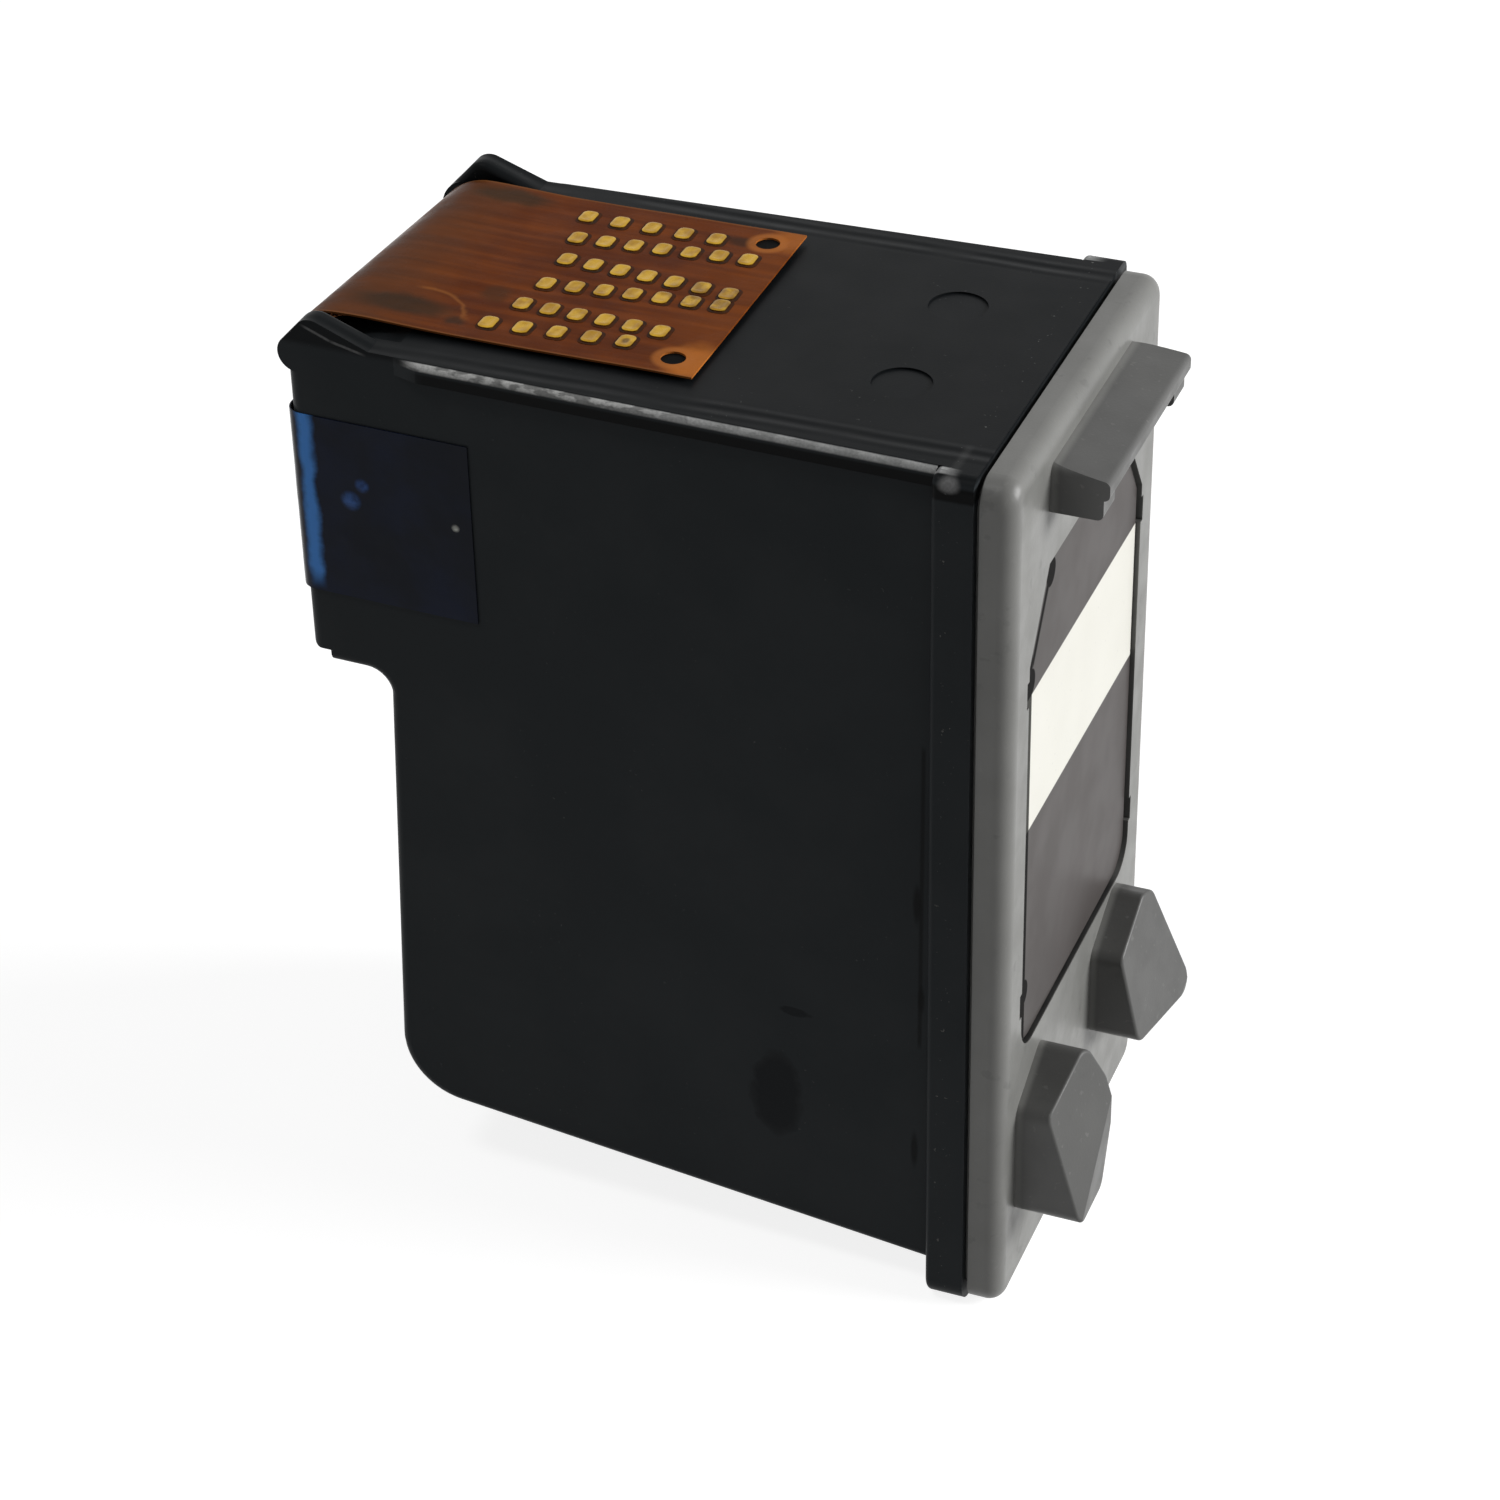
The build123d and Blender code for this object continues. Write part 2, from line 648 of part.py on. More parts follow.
def main():
    os.makedirs("parts", exist_ok=True)
    pieces = {
        "body_housing": body_housing(),
        "lid": lid(),
        "lid_label": lid_label(),
        "foam_block": foam_block(),
        "filter_screen": filter_screen(),
        "printhead_die": printhead_die(),
        "die_adhesive": die_adhesive(),
        "nozzle_plate": nozzle_plate(),
        "bond_bead_upper": bond_bead(1),
        "bond_bead_lower": bond_bead(-1),
        "flex_film": flex_film(),
        "copper_traces": copper_traces(),
        "nozzle_tape": nozzle_tape(),
    }
    for row in contact_rows:
        pieces[row] = contact_row(row)
    for name, shape in pieces.items():
        export_step(shape, f"parts/{name}.step")
        print(name, round(shape.volume, 2), shape.bounding_box())


main()
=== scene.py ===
# %% [markdown]
# # An inkjet cartridge with its own printhead
# The cartridge is a black moulded box with a snout, closed by a grey lid. A brown film with gold contacts
# is bent over the snout, and a blue film keeps the nozzles from drying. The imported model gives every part
# its place, and this script gives each part its finish and adds the fine things that a solid leaves out.

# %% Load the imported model
import bmesh
import bpy
import math
from mathutils import Matrix, Vector, noise as solid_noise


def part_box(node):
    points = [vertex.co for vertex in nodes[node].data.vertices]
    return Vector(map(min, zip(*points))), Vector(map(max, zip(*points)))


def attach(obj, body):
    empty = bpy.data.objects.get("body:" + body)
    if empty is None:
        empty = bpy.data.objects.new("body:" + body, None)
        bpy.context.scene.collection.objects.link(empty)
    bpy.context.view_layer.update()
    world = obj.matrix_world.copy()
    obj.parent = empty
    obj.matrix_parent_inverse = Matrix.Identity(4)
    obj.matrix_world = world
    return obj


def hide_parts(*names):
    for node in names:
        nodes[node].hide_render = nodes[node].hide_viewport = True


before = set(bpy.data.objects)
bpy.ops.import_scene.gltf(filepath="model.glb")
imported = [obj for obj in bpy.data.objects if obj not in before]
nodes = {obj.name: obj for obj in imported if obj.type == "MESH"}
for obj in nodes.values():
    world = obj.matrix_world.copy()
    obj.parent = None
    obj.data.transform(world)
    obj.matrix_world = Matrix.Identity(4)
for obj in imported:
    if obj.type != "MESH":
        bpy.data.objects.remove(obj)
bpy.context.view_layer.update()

mm = 0.001
print("nodes:", sorted(nodes))

# %% [markdown]
# ## The camera
# The picture was taken with a long lens from the near side, a little towards the lid and a good third of
# the way up to overhead. A camera could be aimed by hand, but then nothing would fall exactly on the
# picture. This one is written as it was found from the object's edges: the point it looks at, the angles
# round it, the distance, and two small offsets.

# %% Camera
azimuth, elevation, roll = 0.387899, 0.598099, -0.022347
pivot = Vector((-4.125, -1.03, 30.85))
distance, offset_right, offset_up = 254.96, -3.5146, 1.7150
focal_in_pixels, picture_width = 4046.45, 1500
sensor_width = 36.0

back = Vector((math.sin(azimuth) * math.cos(elevation), -math.cos(azimuth) * math.cos(elevation),
               math.sin(elevation)))
level = Vector((math.cos(azimuth), math.sin(azimuth), 0))
upright = back.cross(level)
right = math.cos(roll) * level + math.sin(roll) * upright
up = -math.sin(roll) * level + math.cos(roll) * upright
stand = (pivot - offset_right * right - offset_up * up + distance * back) * mm

camera_data = bpy.data.cameras.new("camera")
camera_data.sensor_width = sensor_width
camera_data.lens = focal_in_pixels / picture_width * sensor_width
camera_data.clip_start = 0.01
camera = bpy.data.objects.new("camera", camera_data)
bpy.context.scene.collection.objects.link(camera)
camera.matrix_world = Matrix.Translation(stand) @ Matrix((right, up, back)).transposed().to_4x4()
bpy.context.scene.camera = camera
print("lens in mm:", round(camera_data.lens, 2), "camera at:", [round(value, 4) for value in stand])

# %% [markdown]
# ## Size of the brown film
# The film gets a new piece and a pattern of its own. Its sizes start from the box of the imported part, so
# that it stays where the model has it. It lies flat from its free end to the bend, turns down over the
# bend, and goes straight down the nozzle face to its foot. The sum of the three is the length it was
# punched to.

# %% Size of the film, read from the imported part
film_low, film_high = (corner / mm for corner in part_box("flex_film"))
film_width = film_high.y - film_low.y
film_middle = (film_high.y + film_low.y) / 2
film_face, film_end, film_foot = film_low.x, film_high.x, film_low.z
film_skin, film_lift = 0.12, 0.17
contact_z = film_high.z - film_lift
bend_depth, bend_run, bend_drop = 3.97, 6.6, 3.4
bend_start, bend_foot = film_face + bend_depth, contact_z - bend_drop
flat_run = film_end - bend_start
film_length = flat_run + bend_run + bend_foot - film_foot
hole_inset, hole_side, hole_radius = 1.85, 7.5, 0.75
print("film, flat:", round(film_length, 2), "by", round(film_width, 2), "mm")

# %% [markdown]
# ## Size of the blue tape
# The tape goes across the nozzle face and back along both sides of the snout, round two upright corners.
# Its flat length is worked out in the same way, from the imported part's box, the corners' radius and the
# slope of the snout's sides.

# %% Size of the tape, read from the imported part
tape_low, tape_high = (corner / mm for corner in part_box("nozzle_tape"))
tape_round, tape_skin, side_slope = 1.20, 0.08, 0.03
tape_front, tape_back = tape_low.x, tape_high.x
tape_height = tape_high.z - tape_low.z
leg = tape_back - tape_front - tape_round
front_half = tape_high.y - side_slope * leg - tape_round
tape_arc = tape_round * math.pi / 2
tape_length = 2 * (leg + tape_arc + front_half)
print("tape, flat:", round(tape_length, 2), "by", round(tape_height, 2), "mm")

# %% [markdown]
# ## Helpers for finishes
# A finish is a small tree of nodes. It could be drawn by hand in the shader editor, but code is shorter
# where the same few nodes come again and again. The first helper adds a node and fills its sockets. The
# second makes a material whose shader holds what is the same all over the surface, and the third links
# what varies over it.

# %% Adding nodes
def add(tree, kind, inputs, **settings):
    made = tree.nodes.new("ShaderNode" + kind)
    for name, value in settings.items():
        setattr(made, name, value)
    for socket, value in inputs.items():
        if isinstance(value, bpy.types.NodeSocket):
            tree.links.new(value, made.inputs[socket])
        else:
            made.inputs[socket].default_value = value
    return made


def new_finish(name, **sockets):
    material = bpy.data.materials.new(name)
    material.use_nodes = True
    tree = material.node_tree
    tree.nodes.clear()
    shader = add(tree, "BsdfPrincipled", {})
    for socket, value in sockets.items():
        shader.inputs[socket.replace("_", " ")].default_value = value
    output = add(tree, "OutputMaterial", {})
    tree.links.new(shader.outputs["BSDF"], output.inputs["Surface"])
    return material, tree, shader


def wire(material, shader, colour, rough, normal):
    tree = material.node_tree
    for socket, value in (("Base Color", colour), ("Roughness", rough), ("Normal", normal)):
        tree.links.new(value, shader.inputs[socket])
    print(material.name, "has", len(tree.nodes), "nodes")


# %% [markdown]
# ## Places and noises
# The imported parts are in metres, but a finish is easier to think of in millimetres. These helpers give
# the three object coordinates in millimetres, and a noise whose blotches have a known size. Object
# coordinates stay with the part when it is moved, and so do the marks that are placed by them.

# %% Places and noises
def place(tree):
    return add(tree, "TexCoord", {}).outputs["Object"]


def coordinates(tree, where=None):
    # the three object coordinates in millimetres, or the parts of another vector
    if where is None:
        where = add(tree, "VectorMath", {0: place(tree), "Scale": 1 / mm}, operation="SCALE").outputs[0]
    parts = add(tree, "SeparateXYZ", {0: where})
    return parts.outputs[0], parts.outputs[1], parts.outputs[2]


def noise(tree, size, detail, vector=None):
    # noise whose blotches are about size millimetres across
    where = place(tree) if vector is None else vector
    return add(tree, "TexNoise", {"Vector": where, "Scale": 1 / (size * mm), "Detail": detail}).outputs["Fac"]


# %% [markdown]
# ## Steps, blends and bumps
# A noise alone is a soft fog. A step makes it into patches, a blend lays one colour over another where
# the patches are, and a bump makes them stand up by a known depth. The step is smooth at both ends, as
# worn edges and dirt are.

# %% Steps, blends and bumps
def math_node(tree, operation, first, second=0.0):
    return add(tree, "Math", {0: first, 1: second}, operation=operation).outputs[0]


def step(tree, value, low, high, start=0.0, end=1.0):
    # soft step from start to end while the value goes from low to high
    sockets = {"Value": value, "From Min": low, "From Max": high, "To Min": start, "To Max": end}
    return add(tree, "MapRange", sockets, interpolation_type="SMOOTHSTEP").outputs["Result"]


def blend(tree, factor, first, second):
    return add(tree, "Mix", {0: factor, 6: first, 7: second}, data_type="RGBA").outputs[2]


def bump(tree, height, depth, below=None):
    # depth is in millimetres
    sockets = {"Height": height, "Distance": depth * mm, "Strength": 1.0}
    if below is not None:
        sockets["Normal"] = below
    return add(tree, "Bump", sockets).outputs["Normal"]


def grey(value):
    return (value, value, value, 1.0)


# %% [markdown]
# ## Masks
# A mark on a surface is a mask, a number that is one inside the mark and zero outside. The mask is the
# factor of a blend. A band and an oval come first. A picture of the marks would do as well, but a mask
# from numbers stays sharp at any size and needs no file.

# %% Bands and ovals
def between(tree, value, low, high, soft):
    # one inside low to high, with soft edges
    rise = step(tree, value, low - soft, low + soft)
    fall = step(tree, value, high - soft, high + soft, 1.0, 0.0)
    return math_node(tree, "MULTIPLY", rise, fall)


def both(tree, first, *others):
    # product of several masks, or of a mask and its strength
    for other in others:
        first = math_node(tree, "MULTIPLY", first, other)
    return first


def spot(tree, first, second, centre, half_size, soft=0.3):
    # one inside an oval, from its centre and its half sizes
    parts = []
    for value, middle, reach in zip((first, second), centre, half_size):
        away = math_node(tree, "MULTIPLY", math_node(tree, "SUBTRACT", value, middle), 1 / reach)
        parts.append(math_node(tree, "MULTIPLY", away, away))
    away = math_node(tree, "SQRT", math_node(tree, "ADD", *parts))
    return step(tree, away, 1 - soft, 1 + soft, 1.0, 0.0)


# %% [markdown]
# ### Lines and wandering outlines
# A scratch or a rubbed edge is a thin straight line between two places. Its mask is the product of two
# bands, one counted along the line and one across it. And because no real mark has a ruled outline, a
# noise can be added to a coordinate before the mask reads it.

# %% Lines and wandering outlines
def stroke(tree, first, second, start, end, width):
    # one along a thin straight line between two places
    run = Vector(end) - Vector(start)
    length = run.length
    run.normalize()
    middle = (Vector(start) + Vector(end)) / 2
    off = [math_node(tree, "SUBTRACT", value, centre) for value, centre in zip((first, second), middle)]
    ahead = math_node(tree, "ADD", *(math_node(tree, "MULTIPLY", *pair) for pair in zip(off, run)))
    aside = math_node(tree, "SUBTRACT", math_node(tree, "MULTIPLY", off[0], run.y),
                      math_node(tree, "MULTIPLY", off[1], run.x))
    return both(tree, between(tree, ahead, -length / 2, length / 2, 0.4),
                between(tree, aside, -width / 2, width / 2, width / 3))


def wander(tree, value, reach):
    # a noise moved to lie round zero, which makes a straight outline wander
    return math_node(tree, "MULTIPLY", math_node(tree, "SUBTRACT", value, 0.5), reach)


# %% [markdown]
# ## Black housing
# The housing is black styrene from a polished mould: a dark satin with faint cloudy patches. Its upper
# side faces the pale room and mirrors more of it than the walls do, so its black is painted darker there,
# a painted shade that evens out the stronger reflection. One flat black would look like a hole in the
# picture, and the slow change between two blacks is what makes it plastic.

# %% Two blacks of the housing
housing_plastic, tree, shader = new_finish("black_housing_plastic", Specular_IOR_Level=0.045)
shaded_upper_band = (59.6, 60.1)
x, y, z = coordinates(tree)
cloud = step(tree, noise(tree, 9.0, 4.0), 0.35, 0.7)
wall = blend(tree, cloud, (0.0278, 0.0318, 0.0345, 1), (0.0345, 0.0384, 0.0412, 1))
# painted shade: the upper side gets a darker black than the walls
painted_dark_upper = blend(tree, cloud, (0.0060, 0.0072, 0.0080, 1), (0.0090, 0.0100, 0.0110, 1))
colour = blend(tree, step(tree, z, *shaded_upper_band), wall, painted_dark_upper)
print("the darker black starts", shaded_upper_band[0], "mm up")

# %% [markdown]
# ### Marks on the near wall
# A wet finger left two oval marks on the near wall, each with a faint dry rim. Beside the flange there are
# small dents and a thin scored line whose shade is painted: they could be bumps, but on black it is their
# darkness that shows, so each is a near-black spot or line. Every mark is a mask on X and Z, and one more
# mask keeps them off the far wall.

# %% Marks on the near wall
wet_marks = [((5.7, 12.5), (1.7, 3.3)), ((7.0, 19.3), (1.1, 0.35))]
shaded_dents = [((15.0, 29.7), (0.25, 1.3)), ((15.3, 22.6), (0.2, 0.9)), ((15.9, 18.9), (0.2, 1.0)),
         ((14.9, 10.8), (0.22, 1.2))]
score_top, score_foot, score_width = (15.35, 41.0), (15.2, 19.0), 0.26
rim_share, near_side = 0.86, (-11.0, -10.0)

near = step(tree, y, *near_side, 1.0, 0.0)
moved = math_node(tree, "ADD", x, wander(tree, noise(tree, 1.6, 3.0), 1.4))
for centre, half_size in wet_marks:
    inside = spot(tree, moved, z, centre, half_size, 0.12)
    smaller = spot(tree, moved, z, centre, [reach * rim_share for reach in half_size], 0.12)
    rim = math_node(tree, "SUBTRACT", inside, both(tree, inside, smaller))
    colour = blend(tree, both(tree, near, inside, 0.75), colour, (0.0050, 0.0060, 0.0075, 1))
    colour = blend(tree, both(tree, near, rim, 0.35), colour, (0.030, 0.032, 0.034, 1))
# painted shade in the scored line: a near-black stroke instead of a groove
scored_shade = stroke(tree, x, z, score_top, score_foot, score_width)
colour = blend(tree, both(tree, near, scored_shade, 0.7), colour, grey(0.003))
# painted shade in the dents: near-black spots instead of hollows
for centre, half_size in shaded_dents:
    dent_shade = spot(tree, x, z, centre, half_size, 0.5)
    colour = blend(tree, both(tree, near, dent_shade, 0.8), colour, grey(0.002))
print(len(wet_marks), "wet marks and", len(shaded_dents), "shaded_dents")

# %% [markdown]
# ### Rubbed rails, with a painted highlight and a painted shadow
# The carriage rubs the two rails at the upper side's edges. Each has a thin grey line along its outer
# edge, broken where it starts near the snout, which is partly rub wear and partly a painted highlight.
# Right under it lies a near-black band, a painted shadow. A painted picture would need the part unwrapped
# first, so the line is a mask too. The rails follow the walls, which lean out a little, so the lean is
# taken off Y first and the line stays straight.

# %% Rubbed rails, with a painted highlight and a painted shadow
rail_top, rail_width, rail_run, rail_lean = (59.70, 59.84), (12.56, 13.2), (-16.6, 16.9), 0.03
rail_shadow_band, rail_shadow_start, fading = (58.7, 59.6), (-17.0, -15.5), (-6.0, 4.0)

outward = math_node(tree, "ABSOLUTE", y)
straight = math_node(tree, "SUBTRACT", outward, math_node(tree, "MULTIPLY", x, rail_lean))
rail_rub_and_highlight = both(tree, step(tree, z, *rail_top), between(tree, straight, *rail_width, 0.06),
             between(tree, x, *rail_run, 0.8))
# painted shadow: a near-black band right under each rail
painted_rail_shadow = both(tree, between(tree, z, *rail_shadow_band, 0.12), step(tree, x, *rail_shadow_start), 0.95)
colour = blend(tree, painted_rail_shadow, colour, grey(0.002))

# the grain is stretched along the rail, and the breaks fade out towards the flange
along_rail = add(tree, "Mapping", {"Vector": place(tree), "Scale": (0.4, 1.0, 1.0)}).outputs["Vector"]
dash = step(tree, noise(tree, 0.5, 3.0, along_rail), 0.38, 0.58)
fine = step(tree, noise(tree, 0.16, 2.0), 0.3, 0.7, 0.80, 1.0)
front = step(tree, x, *fading, 1.0, 0.0)
broken = math_node(tree, "MAXIMUM", dash, step(tree, front, 0.0, 1.0, 0.85, 0.45))
# the grey line is partly rub wear and partly a painted highlight, brighter towards the snout
worn = blend(tree, front, (0.54, 0.545, 0.54, 1), (0.68, 0.68, 0.665, 1))
colour = blend(tree, both(tree, rail_rub_and_highlight, broken, fine), colour, worn)
print("the rubbed lines are", round(rail_run[1] - rail_run[0], 1), "mm long")

# %% [markdown]
# ### Ridge highlight, corner glint and dust
# The near ear's ridge gets a painted highlight, a thin grey line, and the flange's upper corner a painted
# grey glint. Pale dust sits on the housing, most of it beside the seam where the lid is welded on. Specks
# could be strewn as small meshes, but from this far they are only colour. So dust is the rare high spots
# of a fine noise, thinned by a slow one.

# %% Ridge highlight, corner glint and dust
ear_ridge = ((-23.5, 61.02), (-21.8, 60.36), (-19.8, 59.92))
glint_place, glint_size = (17.1, 59.65), (0.55, 0.38)
seam_run = (16.6, 17.6)

# painted highlight along the ear's ridge
ridge_highlight = math_node(tree, "MAXIMUM", *(stroke(tree, x, z, start, end, 0.16)
                                     for start, end in zip(ear_ridge, ear_ridge[1:])))
colour = blend(tree, both(tree, near, ridge_highlight, fine, 0.8), colour, grey(0.22))
# painted glint on the flange's upper corner
corner_glint = spot(tree, x, z, glint_place, glint_size, 0.5)
colour = blend(tree, both(tree, corner_glint, near, fine, 0.75), colour, grey(0.36))
dust = step(tree, noise(tree, 0.3, 3.0), 0.68, 0.76)
patches = step(tree, noise(tree, 6.0, 3.0), 0.5, 0.65)
dusty = math_node(tree, "MAXIMUM", both(tree, patches, 0.3), between(tree, x, *seam_run, 0.3))
colour = blend(tree, both(tree, dust, dusty), colour, (0.14, 0.14, 0.135, 1))
print("the ridge has", len(ear_ridge) - 1, "strokes")

# %% [markdown]
# ### Gloss and grain of the housing
# The mould was polished, so the roughness hardly varies. The surface has slow waves from shrinking, two
# soft ripples beside each rail, and a very fine grain. Modelled, they would need millions of faces and
# would still not change the outline, so each is a bump on top of the one before it.

# %% Gloss and grain of the housing
ripple_place, ripples_per_turn = (10.6, 12.0), 5.2

rough = step(tree, noise(tree, 3.0, 3.0), 0.3, 0.7, 0.36, 0.42)
waves = noise(tree, 9.0, 1.0)
line = math_node(tree, "ADD", outward, math_node(tree, "MULTIPLY", waves, 0.8))
ripple = both(tree, math_node(tree, "SINE", math_node(tree, "MULTIPLY", line, ripples_per_turn)),
              between(tree, outward, *ripple_place, 0.5), step(tree, z, 59.6, 60.0),
              step(tree, noise(tree, 6.0, 1.0), 0.3, 0.6))
normal = bump(tree, waves, 0.03)
normal = bump(tree, ripple, 0.03, normal)
normal = bump(tree, both(tree, dash, rail_rub_and_highlight), 0.03, normal)
normal = bump(tree, noise(tree, 0.12, 2.0), 0.004, normal)
wire(housing_plastic, shader, colour, rough, normal)

# %% [markdown]
# ## Grey lid
# The lid is a softer grey plastic with a matt, sparked texture. Its tabs and its ledge are painted a darker
# grey than the flat face, a painted shade on what stands out from it. A new material for them would need
# the lid cut into pieces, so one step on X does it: what stands out from the face gets the darker grey.

# %% Two greys of the lid
label_low, label_high = (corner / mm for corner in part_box("lid_label"))
recess_depth = 0.4
lid_face = label_low.x + recess_depth
tabs_start, tabs_full = lid_face + 0.15, lid_face + 0.6

lid_plastic, tree, shader = new_finish("grey_lid_plastic", Specular_IOR_Level=0.45)
x, y, z = coordinates(tree)
cloud = step(tree, noise(tree, 6.0, 4.0), 0.3, 0.7)
painted_shade_grey = blend(tree, cloud, (0.061, 0.061, 0.059, 1), (0.075, 0.075, 0.072, 1))
face = blend(tree, cloud, (0.160, 0.160, 0.152, 1), (0.185, 0.185, 0.176, 1))
# painted shade: the tabs and the ledge get the darker grey
colour = blend(tree, step(tree, x, tabs_start, tabs_full), face, painted_shade_grey)
print("the lid's flat face is at x =", round(lid_face, 2), "mm")

# %% [markdown]
# ### Wear of the lid, and painted shade in its gap
# Small pale specks and dark scuffs break up the grey. The gap and the notches round the label get a
# nearly black painted shade, stronger on the near side. The gap is thin, so the shade is painted wherever
# the lid lies in the box round the label, and the label itself hides the rest.

# %% Wear of the lid, and painted shade in the gap
gap_side, gap_end, gap_reach = 0.9, 0.4, (lid_face - 0.7, lid_face - 0.05)

speck = step(tree, noise(tree, 0.5, 4.0), 0.62, 0.75)
colour = blend(tree, both(tree, speck, 0.25), colour, (0.22, 0.22, 0.21, 1))
scuff = both(tree, step(tree, noise(tree, 1.2, 4.0), 0.60, 0.68),
             step(tree, noise(tree, 7.0, 2.0), 0.45, 0.6))
colour = blend(tree, both(tree, scuff, 0.25), colour, (0.05, 0.05, 0.05, 1))
# painted shade in the gap round the label, stronger on the near side
gap_shade = both(tree, between(tree, x, *gap_reach, 0.03),
           between(tree, y, label_low.y - gap_side, label_high.y + gap_side, 0.05),
           between(tree, z, label_low.z - gap_end, label_high.z + gap_end, 0.05))
strength = step(tree, y, label_high.y - 3.0, label_high.y - 1.0, 0.95, 0.5)
colour = blend(tree, both(tree, gap_shade, strength), colour, grey(0.004))
rough = step(tree, noise(tree, 2.5, 3.0), 0.3, 0.7, 0.36, 0.50)
normal = bump(tree, noise(tree, 5.0, 1.0), 0.04)
normal = bump(tree, noise(tree, 0.16, 2.0), 0.006, normal)
wire(lid_plastic, shader, colour, rough, normal)

# %% [markdown]
# ## Label
# The label is a film with a warm dark grey field and a plain white band across it. The band could be a
# second piece laid on the first, but a mask on height is as sharp and level and leaves nothing to line
# up. The camera sees the label at a flat angle, where gloss turns pale, so the shader's specular level is
# low.

# %% Field and band of the label
band_low, band_high = 34.3, 43.9

label_print, tree, shader = new_finish("label_print", Specular_IOR_Level=0.1)
x, y, z = coordinates(tree)
cloud = step(tree, noise(tree, 9.0, 2.0), 0.3, 0.7)
field = blend(tree, cloud, (0.056, 0.050, 0.048, 1), (0.064, 0.057, 0.055, 1))
paper = blend(tree, cloud, (0.71, 0.70, 0.64, 1), (0.75, 0.74, 0.68, 1))
speck = step(tree, noise(tree, 0.35, 3.0), 0.66, 0.74)
paper = blend(tree, both(tree, speck, 0.2), paper, (0.45, 0.44, 0.41, 1))
colour = blend(tree, between(tree, z, band_low, band_high, 0.05), field, paper)
print("the band is", round(band_high - band_low, 1), "mm high")

# %% [markdown]
# ### The label's shaded edge
# A dark line of painted shadow follows the label's near edge and its cut corner, where the label meets
# the recess, and is wider at three notches. The recess hides the first millimetre of the label from the
# camera, so the line is wide enough to come out from behind it. The same mask also raises the roughness.

# %% Painted shadow along the label's edge
hidden_strip, notch_size = 1.14, (0.85, 0.95)
corner_cut = (label_low.y + 4.45, label_high.z - 0.65), (label_low.y + 1.05, label_high.z - 5.75)
notches = [(label_low.y + 0.9, label_high.z - 6.7), (label_low.y + 0.9, label_low.z + 3.8),
           (label_low.y + 4.3, label_high.z - 1.1)]

# painted shadow along the near edge, the cut corner and the notches
painted_edge_shadow = step(tree, y, label_low.y + hidden_strip, label_low.y + hidden_strip + 0.1, 1.0, 0.0)
painted_edge_shadow = math_node(tree, "MAXIMUM", painted_edge_shadow, stroke(tree, y, z, *corner_cut, 0.6))
for notch in notches:
    painted_edge_shadow = math_node(tree, "MAXIMUM", painted_edge_shadow, spot(tree, y, z, notch, notch_size, 0.08))
colour = blend(tree, both(tree, painted_edge_shadow, 0.92), colour, grey(0.006))
rough = math_node(tree, "MAXIMUM", step(tree, noise(tree, 4.0, 2.0), 0.3, 0.7, 0.40, 0.47), painted_edge_shadow)
wire(label_print, shader, colour, rough, bump(tree, noise(tree, 8.0, 1.0), 0.012))

# %% [markdown]
# ## Brown film and its copper
# The film is polyimide, which is orange-brown and clear, over copper conductors. The conductors show
# through as soft streaks that run along the film. Its marks lie where they were on the flat film, so the
# finish reads an attribute that every point keeps from before the bending: the place along the film,
# counted in millimetres from its free end, and the place across it.

# %% Streaks of the film
def flat_noise(tree, flat, size, detail):
    # noise on a place that is already in millimetres
    return add(tree, "TexNoise", {"Vector": flat, "Scale": 1 / size, "Detail": detail}).outputs["Fac"]


orange_end, browned_bend = (0.0, 6.0), (15.0, 23.0)

polyimide, tree, shader = new_finish("polyimide_film", Specular_IOR_Level=0.022)
flat = add(tree, "Attribute", {}, attribute_name="flat_place").outputs["Vector"]
along, across, _ = coordinates(tree, flat)
grain = add(tree, "Mapping", {"Vector": flat, "Scale": (0.05, 1.0, 0.05)}).outputs["Vector"]
streak = flat_noise(tree, grain, 0.9, 4.0)
cloud = step(tree, flat_noise(tree, flat, 4.5, 3.0), 0.35, 0.65)
dark = blend(tree, cloud, (0.105, 0.022, 0.004, 1), (0.140, 0.032, 0.006, 1))
red = blend(tree, cloud, (0.165, 0.037, 0.006, 1), (0.210, 0.050, 0.008, 1))
colour = blend(tree, step(tree, streak, 0.38, 0.66), dark, red)
# more orange towards the free end, browner over the bend
colour = blend(tree, step(tree, along, *orange_end, 0.16, 0.0), colour, (0.40, 0.115, 0.018, 1))
colour = blend(tree, step(tree, along, *browned_bend, 0.0, 0.55), colour, (0.130, 0.052, 0.018, 1))
print("the streaks run along", round(film_length, 1), "mm of film")

# %% [markdown]
# ### Marks on the film
# Heat and glue left dark patches beside the bend and orange ones at the free corners. They are kept as a
# list, one line for each, so that a mark can be moved without touching the nodes. Their outlines wander
# with a noise, which keeps them from looking like ovals.

# %% Marks on the film
film_marks = [  # centre along and across, half sizes, colour, strength
    ((19.0, 8.2), (2.6, 0.9), (0.040, 0.026, 0.013, 1), 0.75),
    ((19.2, -6.6), (3.0, 1.0), (0.036, 0.022, 0.011, 1), 0.80),
    ((3.4, 7.5), (1.0, 0.6), (0.045, 0.018, 0.008, 1), 0.80),
    ((15.6, -7.4), (0.6, 0.5), (0.050, 0.022, 0.010, 1), 0.80),
    ((14.8, -3.4), (0.9, 0.9), (0.070, 0.028, 0.010, 1), 0.60),
    ((0.6, -7.4), (1.3, 2.0), (0.62, 0.20, 0.035, 1), 0.75),
    ((0.6, 8.6), (1.2, 1.4), (0.60, 0.19, 0.035, 1), 0.55),
]

